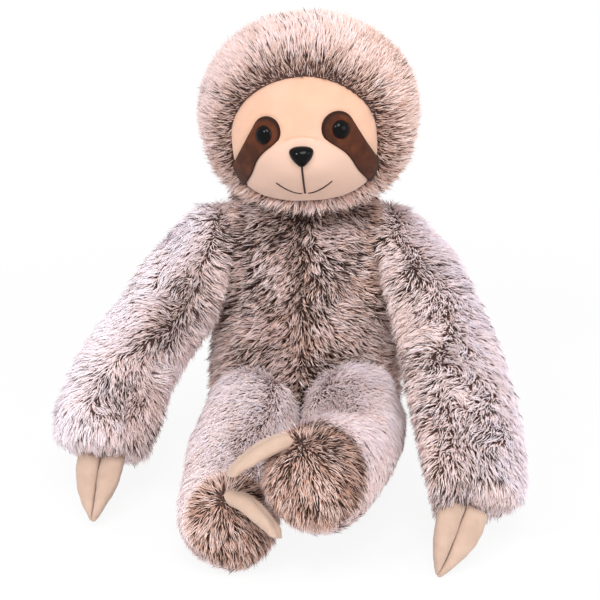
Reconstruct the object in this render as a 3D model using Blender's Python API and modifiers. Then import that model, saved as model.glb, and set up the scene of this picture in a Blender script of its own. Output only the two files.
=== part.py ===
"""A plush sloth that sits on the floor with its legs crossed and its hands in front of it.

Each limb is a plush skin over a loose fibre filling. The frame's origin is the middle of the flat
seat, +Z is up, the face looks along -Y, and left and right are the sloth's own. Metres.
"""

import math

import bmesh
import bpy
from mathutils import Matrix, Vector

# Fabric, and the clearances between pieces
plush_thickness = 0.006
face_fabric_thickness = 0.003
touch_gap = 0.0003
lining_gap = 0.0005
flat_depth = 0.0005
cut_overrun = 0.020
merge_distance = 0.00001
crease_angle = math.radians(40)

# Torso
torso_half_width = 0.108
torso_half_depth = 0.082
torso_height = 0.298
seat_girth_shares = (0.32, 0.56, 0.76)
torso_rise_shares = (0.12, 0.36, 0.57, 0.74, 0.87, 0.97, 1.05)
torso_girth_shares = (1.00, 0.99, 0.92, 0.86, 0.83, 0.78, 0.50)

# Head
head_half_width = 0.111
head_half_depth = 0.100
head_half_height = 0.096
head_side = 0.004
head_forward = 0.020
neck_sink = 0.014

# Face, in its own frame: x to the sloth's left, z up, -y out of the face
face_drop = 0.013
face_pitch = math.radians(-2.5)
face_yaw = math.radians(-4.5)
face_roll = math.radians(-3.3)
face_round_width = 0.101
face_round_height = 0.097
face_depth = 0.102
face_half_width = 0.0705
face_top = 0.058
face_bottom = 0.067
face_jaw_share = 0.56
muzzle_lift = 0.010
muzzle_spread = 0.040
muzzle_tall = 0.028
muzzle_drop = 0.028
brow_top = 0.002
brow_droop = 0.006
brow_half_width = 0.022
patch_centre_out = 0.0325
patch_centre_up = 0.008
patch_radius = 0.0135
patch_tail_out = 0.062
patch_tail_down = 0.033
patch_tail_half_width = 0.0105
patch_tail_overrun = 0.014
face_cut_depth = 0.030
face_sheet_margin = 0.005
least_round_share = 0.02
jaw_side_share = 0.86

# Eyes, nose and mouth
eye_out = 0.035
eye_up = 0.006
eye_radius = 0.0075
eye_dome_height = 0.0055
nose_half_width = 0.0115
nose_half_height = 0.0095
nose_up = -0.014
nose_dome_height = 0.0085
nose_taper_share = 0.26
stem_radius = 0.002
stem_length = 0.011
stem_clearance = 0.0002
washer_radius = 0.006
washer_thickness = 0.002
washer_pocket_clearance = 0.001
button_sink = 0.0012
button_seat_clearance = 0.0003
thread_radius = 0.0006
thread_clearance = 0.0005
mouth_line_top = -0.0245
mouth_line_bottom = -0.049
smile_half_width = 0.0265
smile_rise = 0.012

# Shoulders and arms
shoulder_out = 0.095
shoulder_height = 0.243
shoulder_forward = 0.006
shoulder_face_out = 0.078
shoulder_tilt = math.radians(14)
arm_end_round_share = 0.35
root_lean = math.radians(55)
end_leans = (math.radians(33), math.radians(66))
right_arm_spread = 0.113
right_arm_reach = 0.126
right_arm_drop = 0.174
right_arm_radii = (0.043, 0.046, 0.052, 0.052)
right_arm_path_shares = ((0.49, 0.34, 0.37), (0.90, 0.74, 0.78), (1.0, 1.0, 1.0))
left_arm_spread = 0.073
left_arm_reach = 0.220
left_arm_drop = 0.179
left_arm_radii = (0.043, 0.047, 0.054, 0.056)
left_arm_path_shares = ((0.72, 0.31, 0.34), (0.92, 0.65, 0.66), (0.82, 1.0, 1.0))

# Hips and legs
hip_out = 0.055
hip_forward_share = 0.80
hip_height = 0.068
hip_hinge_share = 0.40
leg_root_radius = 0.046
leg_middle_radius = 0.047
right_foot_radius = 0.049
right_foot_out = 0.074
right_foot_reach = 0.244
right_foot_height = 0.0446
left_foot_radius = 0.058
left_foot_out = 0.013
left_foot_reach = 0.262
left_foot_height = 0.098
leg_bow_shares = (1 / 3, 2 / 3)
left_leg_bow = 0.014
right_leg_bow = 0.006
foot_end_round_share = 1.0

# Claws: (along, wide, thick) shares from the root to the tip, and how each pair lies
claw_length = 0.069
claw_width = 0.025
claw_half_thickness = 0.0075
claw_bend = 0.012
claw_station_shares = (
    (-0.10, 0.94, 0.72),
    (0.05, 1.00, 1.00),
    (0.42, 0.90, 1.00),
    (0.80, 0.62, 0.88),
    (1.00, 0.36, 0.50),
)
claw_true_share = 0.955
right_foot_claw_sink = 0.007
left_foot_claw_sink = 0.009
hand_claw_flex = math.radians(15)
foot_claw_travel = math.radians(30)
claw_stops = 5
right_hand_claw_down = math.radians(39)
right_hand_claw_heading = math.radians(3)
right_hand_claw_roll = math.radians(6)
left_hand_claw_down = math.radians(34)
left_hand_claw_heading = math.radians(-32)
left_hand_claw_roll = math.radians(-28)
right_foot_claw_rise = math.radians(61)
right_foot_claw_side = math.radians(12)
right_foot_claw_droop = math.radians(72)
right_foot_claw_swing = math.radians(131)
right_foot_claw_roll = math.radians(-50)
left_foot_claw_rise = math.radians(59)
left_foot_claw_side = math.radians(-74)
left_foot_claw_droop = math.radians(64)
left_foot_claw_swing = math.radians(-117)
left_foot_claw_roll = math.radians(18)

# Facets
torso_sides = 10
limb_sides = 8
claw_sides = 6
head_segments = 20
head_rings = 12
face_cells = 12
outline_steps = 32
thread_steps = 9
dome_steps = 5
brow_steps = 6
patch_steps = 12
thread_sides_resolution = 1
button_segments = 14


def collection_named(name):
    group = bpy.data.collections.new(name)
    bpy.context.scene.collection.children.link(group)
    return group


def clear_scene():
    for old in list(bpy.data.objects):
        bpy.data.objects.remove(old, do_unlink=True)


clear_scene()
parts = collection_named("plush_sloth")
cutters = collection_named("cutters")


def finish(name, colour, roughness):
    """A plain surface with one colour and roughness, for one kind of fabric or plastic."""
    made = bpy.data.materials.new(name)
    made.use_nodes = True
    shader = made.node_tree.nodes["Principled BSDF"]
    shader.inputs["Base Color"].default_value = (*colour, 1)
    shader.inputs["Roughness"].default_value = roughness
    shader.inputs["Metallic"].default_value = 0
    return made


def new_object(name, mesh, material=None, group=None):
    thing = bpy.data.objects.new(name, mesh)
    (group or parts).objects.link(thing)
    if material:
        mesh.materials.append(material)
    else:
        thing.hide_render = True
        thing.display_type = "WIRE"
    return thing


def mesh_from(name, shape):
    """Ends a bmesh: its faces turned outwards, shaded smooth with sharp rims, as a named mesh."""
    bmesh.ops.recalc_face_normals(shape, faces=shape.faces)
    mesh = bpy.data.meshes.new(name)
    shape.to_mesh(mesh)
    shape.free()
    mesh.shade_smooth()
    mesh.set_sharp_from_angle(angle=crease_angle)
    return mesh


def cutter(name, mesh):
    return new_object(name, mesh, None, cutters)


def boolean(thing, tool, operation="DIFFERENCE"):
    step = thing.modifiers.new(tool.name, "BOOLEAN")
    step.object = tool
    step.operation = operation
    step.solver = "EXACT"


def subdivide(thing):
    step = thing.modifiers.new("rounding", "SUBSURF")
    step.levels = 1
    step.render_levels = 1


def sink_surface(thing, depth):
    """Moves a surface inwards by depth, after its faces are split alike in every copy of it."""
    split = thing.modifiers.new("split", "TRIANGULATE")
    split.quad_method = "FIXED"
    step = thing.modifiers.new("inset", "DISPLACE")
    step.strength = -depth
    step.mid_level = 0


def frame_along(direction, side):
    """A turn whose z is direction and whose x is side, squared up to it."""
    z = direction.normalized()
    x = (side - z * side.dot(z)).normalized()
    y = z.cross(x)
    return Matrix((x, y, z)).transposed()


def ring_cage(name, rings, sides):
    """A closed cage of rings, each (centre, turn, half width, half depth), lofted in order."""
    swell = 1 / math.cos(math.pi / sides)
    shape = bmesh.new()
    loops = []
    for centre, turn, half_width, half_depth in rings:
        loop = []
        for step in range(sides):
            angle = 2 * math.pi * (step + 0.5) / sides
            spoke = Vector((half_width * math.cos(angle), half_depth * math.sin(angle), 0))
            loop.append(shape.verts.new(centre + turn @ (spoke * swell)))
        loops.append(loop)
    for lower, upper in zip(loops, loops[1:]):
        for step in range(sides):
            after = (step + 1) % sides
            shape.faces.new((lower[step], lower[after], upper[after], upper[step]))
    shape.faces.new(loops[0][::-1])
    shape.faces.new(loops[-1])
    return mesh_from(name, shape)


def ellipsoid(name, centre, half_sizes, segments, rings):
    shape = bmesh.new()
    bmesh.ops.create_uvsphere(shape, u_segments=segments, v_segments=rings, radius=1)
    bmesh.ops.scale(shape, vec=half_sizes, verts=shape.verts)
    bmesh.ops.translate(shape, vec=centre, verts=shape.verts)
    return mesh_from(name, shape)


def box_between(name, low, high):
    shape = bmesh.new()
    bmesh.ops.create_cube(shape, size=1)
    low, high = Vector(low), Vector(high)
    bmesh.ops.scale(shape, vec=high - low, verts=shape.verts)
    bmesh.ops.translate(shape, vec=(low + high) / 2, verts=shape.verts)
    return mesh_from(name, shape)


def rod(name, radius, low, high, segments=button_segments):
    """A cylinder along local z from low to high."""
    shape = bmesh.new()
    bmesh.ops.create_cone(
        shape, cap_ends=True, segments=segments, radius1=radius, radius2=radius, depth=high - low
    )
    bmesh.ops.translate(shape, vec=(0, 0, (low + high) / 2), verts=shape.verts)
    return mesh_from(name, shape)


def turned(name, profile, material, placing, steps=button_segments):
    """A profile of (radius, height) points from top to bottom, turned about local z."""
    mesh = bpy.data.meshes.new(name)
    points = [(radius, 0, height) for radius, height in profile]
    mesh.from_pydata(points, [(i, i + 1) for i in range(len(points) - 1)], [])
    thing = new_object(name, mesh, material, parts if material else cutters)
    thing.matrix_world = placing
    step = thing.modifiers.new("turn", "SCREW")
    step.steps = steps
    step.render_steps = steps
    step.use_merge_vertices = True
    step.merge_threshold = merge_distance
    step.use_smooth_shade = True
    return thing


def joint_empty(name, place, z_axis=(0, 0, 1)):
    empty = bpy.data.objects.new(name, None)
    parts.objects.link(empty)
    turn = Vector(z_axis).to_track_quat("Z", "Y").to_matrix().to_4x4()
    empty.matrix_world = Matrix.Translation(place) @ turn
    return empty


def hang_on(empty, things):
    """Parents pieces to the empty on their joint's axis, where they lie."""
    for thing in things:
        thing.parent = empty
        thing.matrix_parent_inverse = empty.matrix_world.inverted()


def stuffed_form(name, mesh, rounded, fabric, filling):
    """A skin round a filling, both from one surface: the cavity is sunk into it by the fabric."""
    outside = cutter(name + "_outside", mesh.copy())
    cavity = cutter(name + "_cavity", mesh.copy())
    stuffing = new_object(name + "_stuffing", mesh.copy(), filling)
    skin = new_object(name + "_skin", mesh, fabric)
    depths = {skin: 0, outside: -touch_gap, cavity: plush_thickness, stuffing: plush_thickness + lining_gap}
    for thing, depth in depths.items():
        if rounded:
            subdivide(thing)
        sink_surface(thing, depth)
    boolean(skin, cavity)
    return skin, stuffing, outside


plush = finish("long_plush", (0.55, 0.42, 0.39), 0.95)
fibre = finish("fibre_filling", (0.90, 0.90, 0.88), 0.95)
face_fabric = finish("cream_short_pile", (0.86, 0.65, 0.48), 0.9)
suede = finish("brown_suede", (0.13, 0.04, 0.02), 0.85)
claw_fabric = finish("beige_short_pile", (0.75, 0.57, 0.44), 0.9)
black_gloss = finish("black_gloss_plastic", (0.01, 0.01, 0.01), 0.12)
washer_plastic = finish("clear_washer_plastic", (0.70, 0.70, 0.68), 0.4)
mouth_thread = finish("dark_thread", (0.05, 0.02, 0.01), 0.8)

# The floor, the neck and the shoulder faces, which several pieces are cut by
room = 2 * torso_height
neck_height = torso_height
head_centre = Vector((head_side, -head_forward, neck_height - neck_sink + head_half_height))
under_floor = cutter("under_floor", box_between("under_floor", (-room, -room, -room), (room, room, 0)))
over_neck = cutter(
    "over_neck", box_between("over_neck", (-room, -room, neck_height - touch_gap), (room, room, room))
)
under_neck = cutter(
    "under_neck", box_between("under_neck", (-room, -room, -room), (room, room, neck_height))
)


def side_box(name, side, start, depth):
    """A block beyond a shoulder face, from start to depth outwards along its normal."""
    tool = cutter(name, box_between(name, (-room, -room, start), (room, room, start + depth)))
    tool.matrix_world = shoulder_face(side)
    return tool


def shoulder_normal(side):
    return Vector((side * math.cos(shoulder_tilt), 0, math.sin(shoulder_tilt)))


def shoulder_face(side):
    """The place of the flat face where an arm meets the torso: z out of the torso."""
    middle = Vector((side * shoulder_face_out, -shoulder_forward, shoulder_height))
    turn = frame_along(shoulder_normal(side), Vector((0, 1, 0)))
    return Matrix.Translation(middle) @ turn.to_4x4()


def make_torso():
    """The body, flat where it sits, with its widest girth low down."""
    levels = [(-flat_depth, girth) for girth in seat_girth_shares]
    levels += [(torso_height * rise, girth) for rise, girth in zip(torso_rise_shares, torso_girth_shares)]
    rings = []
    for height, girth in levels:
        centre = Vector((0, 0, height))
        rings.append((centre, Matrix.Identity(3), torso_half_width * girth, torso_half_depth * girth))
    return stuffed_form("torso", ring_cage("torso", rings, torso_sides), True, plush, fibre)


def path_points(start, spread, reach, drop, shares, side):
    """Places along a limb: start, then each (out, forward, down) share of the limb's extents."""
    return [start] + [
        start + Vector((side * spread * out, -reach * forward, -drop * down))
        for out, forward, down in shares
    ]


def limb_rings(points, radii, root_share, end_share):
    """Rings along a limb, with a round end beyond its first and its last point."""
    count = len(points)
    tangents = []
    for place in range(count):
        before = points[max(place - 1, 0)]
        after = points[min(place + 1, count - 1)]
        tangents.append((after - before).normalized())
    side = Vector((1, 0, 0))
    centre = points[0] - tangents[0] * radii[0] * root_share * math.sin(root_lean)
    half = radii[0] * math.cos(root_lean)
    rings = [(centre, frame_along(tangents[0], side), half, half)]
    for point, tangent, radius in zip(points, tangents, radii):
        rings.append((point, frame_along(tangent, side), radius, radius))
    for lean in end_leans:
        centre = points[-1] + tangents[-1] * radii[-1] * end_share * math.sin(lean)
        half = radii[-1] * math.cos(lean)
        rings.append((centre, frame_along(tangents[-1], side), half, half))
    return rings


def make_arm(word, side, spread, reach, drop, radii, shares):
    """A long arm, cut flat where it meets the torso's side and blunt where its claws are sewn in."""
    shoulder = Vector((side * shoulder_out, -shoulder_forward, shoulder_height))
    points = path_points(shoulder, spread, reach, drop, shares, side)
    rings = limb_rings(points, radii, 1, arm_end_round_share)
    cage = ring_cage(word + "_arm", rings, limb_sides)
    skin, stuffing, outside = stuffed_form(word + "_arm", cage, True, plush, fibre)
    inner = side_box(word + "_torso_side", side, -room, room)
    for thing in (skin, stuffing):
        boolean(thing, inner)
    return skin, stuffing, outside, points


def make_leg(word, side, foot, foot_radius, bow, torso_outside):
    """A thick leg, cut to the torso where it meets it, flat where it lies on the floor."""
    hip = Vector((side * hip_out, -torso_half_depth * hip_forward_share, hip_height))
    forward = foot - hip
    bulge = Vector((side * bow, 0, 0))
    points = [hip] + [hip + forward * share + bulge for share in leg_bow_shares] + [foot]
    radii = (leg_root_radius, leg_root_radius, leg_middle_radius, foot_radius)
    rings = limb_rings(points, radii, 1, foot_end_round_share)
    cage = ring_cage(word + "_leg", rings, limb_sides)
    skin, stuffing, outside = stuffed_form(word + "_leg", cage, True, plush, fibre)
    for thing in (skin, stuffing):
        boolean(thing, torso_outside)
        boolean(thing, under_floor)
    return skin, stuffing, outside


def face_matrix():
    turn = (
        Matrix.Rotation(face_yaw, 4, "Z")
        @ Matrix.Rotation(face_pitch, 4, "X")
        @ Matrix.Rotation(face_roll, 4, "Y")
    )
    return Matrix.Translation(head_centre - Vector((0, 0, face_drop))) @ turn


def face_out(x, z):
    """How far the face stands out of the head's middle at x, z: a round front and a soft muzzle."""
    round_share = 1 - (x / face_round_width) ** 2 - (z / face_round_height) ** 2
    front = face_depth * math.sqrt(max(round_share, least_round_share))
    away = (x / muzzle_spread) ** 2 + ((z + muzzle_drop) / muzzle_tall) ** 2
    return front + muzzle_lift * math.exp(-away)


def face_normal(x, z):
    step = thread_radius
    across = (face_out(x + step, z) - face_out(x - step, z)) / (2 * step)
    up = (face_out(x, z + step) - face_out(x, z - step)) / (2 * step)
    return Vector((-across, -1, -up)).normalized()


def on_face(x, z, out=0.0):
    return Vector((x, -face_out(x, z), z)) + face_normal(x, z) * out


def face_outline(grow=0.0):
    """The face's edge: a round brow above, and a broader jaw that ends flatter below."""
    points = []
    for step in range(outline_steps):
        angle = 2 * math.pi * step / outline_steps
        rise = math.sin(angle)
        reach = math.cos(angle)
        tall, up_power, side_power = face_top, 1, 1
        if rise <= 0:
            tall, up_power, side_power = face_bottom, face_jaw_share, jaw_side_share
        lift = math.copysign(abs(rise) ** up_power, rise)
        wide = math.copysign(abs(reach) ** side_power, reach)
        points.append(Vector((face_half_width * wide, 0, tall * lift)))
    return [point + point.normalized() * grow for point in points]


def prism(name, outline, near, far):
    """A flat outline in the face's x, z plane, drawn out from depth near to far in front of it."""
    shape = bmesh.new()
    loop = [shape.verts.new(Vector((point.x, -near, point.z))) for point in outline]
    base = shape.faces.new(loop)
    drawn = bmesh.ops.extrude_face_region(shape, geom=[base])
    moved = [item for item in drawn["geom"] if isinstance(item, bmesh.types.BMVert)]
    bmesh.ops.translate(shape, vec=(0, near - far, 0), verts=moved)
    tool = cutter(name, mesh_from(name, shape))
    tool.matrix_world = face_matrix()
    return tool


def muzzle_outline(grow=0.0):
    """The muzzle panel's upper edge: an arc over the nose, then down along both patches."""
    wide = face_half_width + cut_overrun
    slope = (patch_tail_down - brow_droop) / (patch_tail_out - brow_half_width)
    points = [Vector((-wide, 0, -face_bottom - cut_overrun)), Vector((wide, 0, -face_bottom - cut_overrun))]
    low = -brow_droop - patch_tail_half_width - slope * (wide - brow_half_width)
    edge = [Vector((wide, 0, low + grow))]
    for step in range(brow_steps, -brow_steps - 1, -1):
        share = step / brow_steps
        x = brow_half_width * share
        edge.append(Vector((x, 0, -brow_droop * share * share + brow_top + grow)))
    edge.append(Vector((-wide, 0, low + grow)))
    return points + edge


def patch_outline(side, grow=0.0):
    """A teardrop: a round end about the eye, and a tail out to the edge of the face."""
    head = Vector((side * patch_centre_out, 0, patch_centre_up))
    tail = Vector((side * patch_tail_out, 0, -patch_tail_down))
    along = (tail - head).normalized()
    across = Vector((-along.z, 0, along.x))
    radius = patch_radius + grow
    narrow = patch_tail_half_width + grow
    points = []
    for step in range(patch_steps + 1):
        angle = math.pi * step / patch_steps
        points.append(head + across * radius * math.cos(angle) - along * radius * math.sin(angle))
    end = tail + along * patch_tail_overrun
    points.append(end - across * narrow)
    points.append(end + across * narrow)
    return points


def face_sheet(name, material, group, raise_by=0.0, wall_thickness=face_fabric_thickness, outwards=-1):
    """The face fabric as one curved sheet, before its outline is cut."""
    shape = bmesh.new()
    reach = max(face_half_width, face_bottom) + face_sheet_margin
    bmesh.ops.create_grid(shape, x_segments=face_cells, y_segments=face_cells, size=reach)
    for vert in shape.verts:
        vert.co = on_face(vert.co.x, vert.co.y, raise_by)
    mesh = mesh_from(name, shape)
    if mesh.polygons[0].normal.y > 0:
        mesh.flip_normals()
    thing = new_object(name, mesh, material, group)
    thing.matrix_world = face_matrix()
    wall = thing.modifiers.new("fabric", "SOLIDIFY")
    wall.thickness = wall_thickness
    wall.offset = outwards
    return thing


def make_head():
    mesh = ellipsoid(
        "head", head_centre, (head_half_width, head_half_depth, head_half_height), head_segments, head_rings
    )
    skin, stuffing, _ = stuffed_form("head", mesh, False, plush, fibre)
    for thing in (skin, stuffing):
        boolean(thing, under_neck)
    return skin, stuffing


def make_face(head_skin, head_stuffing):
    """The face opening in the plush, and the cream panels and suede patches that fill it."""
    far = face_depth + muzzle_lift + cut_overrun
    behind = -face_fabric_thickness - lining_gap
    boolean(head_stuffing, face_sheet("face_room", None, cutters, behind, cut_overrun, 1))
    opening = prism("face_opening", face_outline(), face_cut_depth, far)
    boolean(head_skin, opening)
    inner = prism("face_inside", face_outline(-touch_gap), face_cut_depth, far)
    patches = {}
    forehead = face_sheet("forehead_panel", face_fabric, parts)
    muzzle = face_sheet("muzzle_panel", face_fabric, parts)
    boolean(forehead, inner, "INTERSECT")
    boolean(muzzle, inner, "INTERSECT")
    muzzle_room = prism("muzzle_room", muzzle_outline(touch_gap), face_cut_depth, far)
    muzzle_area = prism("muzzle_area", muzzle_outline(), face_cut_depth, far)
    boolean(forehead, muzzle_room)
    boolean(muzzle, muzzle_area, "INTERSECT")
    for word, side in (("right", -1), ("left", 1)):
        room_for_patch = prism(word + "_patch_room", patch_outline(side, touch_gap), face_cut_depth, far)
        patch_area = prism(word + "_patch_area", patch_outline(side), face_cut_depth, far)
        patch = face_sheet(word + "_eye_patch", suede, parts)
        boolean(patch, inner, "INTERSECT")
        boolean(patch, patch_area, "INTERSECT")
        boolean(forehead, room_for_patch)
        boolean(muzzle, room_for_patch)
        patches[word] = patch
    return forehead, muzzle, patches


def button_place(x, z):
    """Where a plastic button sits on the face: z out of it."""
    turn = frame_along(face_normal(x, z), Vector((1, 0, 0))).to_4x4()
    return face_matrix() @ Matrix.Translation(on_face(x, z, -button_sink)) @ turn


def dome_profile(radius, height):
    """A dome, its flat back and its stem, as (radius, height) points from top to bottom."""
    points = []
    for step in range(dome_steps + 1):
        angle = math.pi / 2 * step / dome_steps
        points.append((radius * math.sin(angle), height * math.cos(angle)))
    points += [(stem_radius, 0), (stem_radius, -stem_length), (0, -stem_length)]
    return points


def washer_profile(inner, outer, top):
    """A washer's section, as (radius, height) points: a closed loop down its outer side."""
    low = top - washer_thickness
    return [(inner, top), (outer, top), (outer, low), (inner, low), (inner, top)]


def nose_solid(place):
    """A domed nose, broad above and narrow below, with its stem: x and y are across and up."""
    shape = bmesh.new()
    loops = []
    for level in range(dome_steps):
        angle = math.pi / 2 * level / dome_steps
        loop = []
        for step in range(button_segments):
            turn = 2 * math.pi * step / button_segments
            broad = 1 + nose_taper_share * math.sin(turn)
            across = nose_half_width * math.cos(turn) * broad * math.cos(angle)
            up = nose_half_height * math.sin(turn) * math.cos(angle)
            loop.append(shape.verts.new((across, up, nose_dome_height * math.sin(angle))))
        loops.append(loop)
    for lower, upper in zip(loops, loops[1:]):
        for step in range(button_segments):
            after = (step + 1) % button_segments
            shape.faces.new((lower[step], lower[after], upper[after], upper[step]))
    crown = shape.verts.new((0, 0, nose_dome_height))
    for step in range(button_segments):
        shape.faces.new((loops[-1][step], loops[-1][(step + 1) % button_segments], crown))
    shape.faces.new(loops[0][::-1])
    nose = new_object("nose", mesh_from("nose", shape), black_gloss)
    nose.matrix_world = place
    stem = cutter("nose_stem", rod("nose_stem", stem_radius, -stem_length, nose_dome_height / 2))
    stem.matrix_world = place
    boolean(nose, stem, "UNION")
    return nose


def seat_button(name, radius, place, height, carrier, stuffing):
    """Holds a plastic eye or nose: its back sinks into the fabric, a stem passes it, a washer grips it."""
    behind = button_sink - face_fabric_thickness
    hole_radius = stem_radius + stem_clearance
    pocket_radius = washer_radius + washer_pocket_clearance
    profile = washer_profile(hole_radius, washer_radius, behind - touch_gap)
    washer = turned(name + "_washer", profile, washer_plastic, place)
    cuts = (
        ("_seat", radius + button_seat_clearance, -touch_gap, height, carrier),
        ("_hole", hole_radius, -stem_length, height, carrier),
        ("_recess", pocket_radius, -stem_length, behind, carrier),
        ("_pocket", pocket_radius, -stem_length - washer_pocket_clearance, height, stuffing),
    )
    for word, wide, low, high, thing in cuts:
        tool = cutter(name + word, rod(name + word, wide, low, high))
        tool.matrix_world = place
        boolean(thing, tool)
    return washer


def make_thread(name, places):
    """A round thread that lies on the face through the given x, z places."""
    curve = bpy.data.curves.new(name, "CURVE")
    curve.dimensions = "3D"
    curve.bevel_depth = thread_radius
    curve.bevel_resolution = thread_sides_resolution
    curve.use_fill_caps = True
    spline = curve.splines.new("POLY")
    spline.points.add(len(places) - 1)
    for point, (x, z) in zip(spline.points, places):
        point.co = (*on_face(x, z, thread_radius + thread_clearance), 1)
    curve.materials.append(mouth_thread)
    thing = bpy.data.objects.new(name, curve)
    parts.objects.link(thing)
    thing.matrix_world = face_matrix()
    return thing


def make_mouth():
    line = [
        (0, mouth_line_top + (mouth_line_bottom - mouth_line_top) * step / (thread_steps - 1))
        for step in range(thread_steps)
    ]
    threads = [make_thread("mouth_line_thread", line)]
    for word, side in (("right", -1), ("left", 1)):
        start = 2 * thread_radius + thread_clearance
        smile = []
        for step in range(thread_steps):
            share = step / (thread_steps - 1)
            x = start + (smile_half_width - start) * share
            smile.append((side * x, mouth_line_bottom + smile_rise * share * share))
        threads.append(make_thread(word + "_smile_thread", smile))
    return threads


def claw_mesh(name, side):
    """A flat, curved, stuffed claw beside the middle of its pair, bent towards local -y."""
    rings = []
    for along, wide, thick in claw_station_shares:
        half_width = claw_width / 2 * wide
        drop = claw_bend * max(along, 0) ** 2
        centre = Vector((side * (touch_gap / 2 + half_width * claw_true_share), -drop, claw_length * along))
        rings.append((centre, Matrix.Identity(3), half_width, claw_half_thickness * thick))
    return ring_cage(name, rings, claw_sides)


def make_claws(word, place, carrier, axis, first_turn, last_turn):
    """A pair of claws on one seam, in the place's frame: x along the seam, z to their tips.

    They are cut by the limb that carries them as it stands at each stop of their turn about axis.
    """
    root = Matrix.Translation(place.translation)
    stops = []
    for stop in range(claw_stops):
        turn = first_turn + (last_turn - first_turn) * stop / (claw_stops - 1)
        seen = carrier.copy()
        seen.name = f"{word}_limb_at_stop_{stop}"
        seen.matrix_world = root @ Matrix.Rotation(-turn, 4, axis) @ root.inverted()
        cutters.objects.link(seen)
        stops.append(seen)
    claws = []
    for name, side in (("first", -1), ("second", 1)):
        claw = new_object(f"{word}_{name}_claw", claw_mesh(f"{word}_{name}_claw", side), claw_fabric)
        claw.matrix_world = place
        subdivide(claw)
        claw.modifiers.new("split", "TRIANGULATE")
        for seen in stops:
            boolean(claw, seen)
        claws.append(claw)
    return claws


def pointing(down, heading):
    """A direction: down below level, and heading to the sloth's left of straight ahead."""
    level = math.cos(down)
    return Vector((level * math.sin(heading), -level * math.cos(heading), -math.sin(down)))


def hand_claws(word, points, radius, down, heading, roll, carrier):
    """The claws at the blunt end of an arm, which flex about their seam."""
    along = (points[-1] - points[-2]).normalized()
    root = points[-1] + along * radius * arm_end_round_share * math.sin(end_leans[-1])
    across = Vector((math.cos(roll), 0, math.sin(roll)))
    place = Matrix.Translation(root) @ frame_along(pointing(down, heading), across).to_4x4()
    axis = place.col[0].xyz
    claws = make_claws(word + "_hand", place, carrier, axis, -hand_claw_flex, hand_claw_flex)
    return claws, joint_empty(word + "_hand_claw_flex", root, axis)


def foot_claws(word, foot, radius, lie, carrier):
    """The claws on the round end of a foot, which lie over it and swing about its normal.

    Droop tips them away from that normal, swing turns them about it, and roll sets them on edge.
    """
    rise, side, droop, swing, roll, sink = lie
    normal = pointing(-rise, side)
    up = frame_along(normal, Vector((1, 0, 0)))
    level = math.sin(droop)
    away = up @ Vector((level * math.sin(swing), level * math.cos(swing), math.cos(droop)))
    across = Matrix.Rotation(roll, 3, away) @ normal.cross(away)
    root = foot + normal * (radius - sink)
    place = Matrix.Translation(root) @ frame_along(away, across).to_4x4()
    claws = make_claws(word + "_foot", place, carrier, normal, -foot_claw_travel, 0)
    return claws, joint_empty(word + "_foot_claw_swing", root, normal)


torso_skin, torso_stuffing, torso_outside = make_torso()
right_arm_skin, right_arm_stuffing, right_arm_outside, right_arm_points = make_arm(
    "right", -1, right_arm_spread, right_arm_reach, right_arm_drop, right_arm_radii, right_arm_path_shares
)
left_arm_skin, left_arm_stuffing, left_arm_outside, left_arm_points = make_arm(
    "left", 1, left_arm_spread, left_arm_reach, left_arm_drop, left_arm_radii, left_arm_path_shares
)
right_foot = Vector((-right_foot_out, -right_foot_reach, right_foot_height))
left_foot = Vector((left_foot_out, -left_foot_reach, left_foot_height))
right_leg_skin, right_leg_stuffing, right_leg_outside = make_leg(
    "right", -1, right_foot, right_foot_radius, right_leg_bow, torso_outside
)
left_leg_skin, left_leg_stuffing, left_leg_outside = make_leg(
    "left", 1, left_foot, left_foot_radius, left_leg_bow, torso_outside
)
for word, side in (("right", -1), ("left", 1)):
    outer = side_box(word + "_arm_side", side, -touch_gap, room)
    for thing in (torso_skin, torso_stuffing):
        boolean(thing, outer)
for thing in (torso_skin, torso_stuffing):
    boolean(thing, over_neck)
    boolean(thing, under_floor)

head_skin, head_stuffing = make_head()
forehead, muzzle, patches = make_face(head_skin, head_stuffing)
face_pieces = [forehead, muzzle, *patches.values()]
for word, side in (("right", -1), ("left", 1)):
    place = button_place(side * eye_out, eye_up)
    eye = turned(word + "_eye", dome_profile(eye_radius, eye_dome_height), black_gloss, place)
    washer = seat_button(word + "_eye", eye_radius, place, eye_dome_height, patches[word], head_stuffing)
    face_pieces += [eye, washer]
nose_place = button_place(0, nose_up)
nose_reach = nose_half_width * (1 + nose_taper_share / 2)
nose_washer = seat_button("nose", nose_reach, nose_place, nose_dome_height, muzzle, head_stuffing)
face_pieces += [nose_solid(nose_place), nose_washer, *make_mouth()]

right_hand, right_hand_flex = hand_claws(
    "right",
    right_arm_points,
    right_arm_radii[-1],
    right_hand_claw_down,
    right_hand_claw_heading,
    right_hand_claw_roll,
    right_arm_outside,
)
left_hand, left_hand_flex = hand_claws(
    "left",
    left_arm_points,
    left_arm_radii[-1],
    left_hand_claw_down,
    left_hand_claw_heading,
    left_hand_claw_roll,
    left_arm_outside,
)
right_foot_lie = (
    right_foot_claw_rise,
    right_foot_claw_side,
    right_foot_claw_droop,
    right_foot_claw_swing,
    right_foot_claw_roll,
    right_foot_claw_sink,
)
left_foot_lie = (
    left_foot_claw_rise,
    left_foot_claw_side,
    left_foot_claw_droop,
    left_foot_claw_swing,
    left_foot_claw_roll,
    left_foot_claw_sink,
)
right_foot_pair, right_foot_swing = foot_claws(
    "right", right_foot, right_foot_radius, right_foot_lie, right_leg_outside
)
left_foot_pair, left_foot_swing = foot_claws(
    "left", left_foot, left_foot_radius, left_foot_lie, left_leg_outside
)
for claw in right_foot_pair:
    boolean(claw, left_leg_outside)

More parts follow.
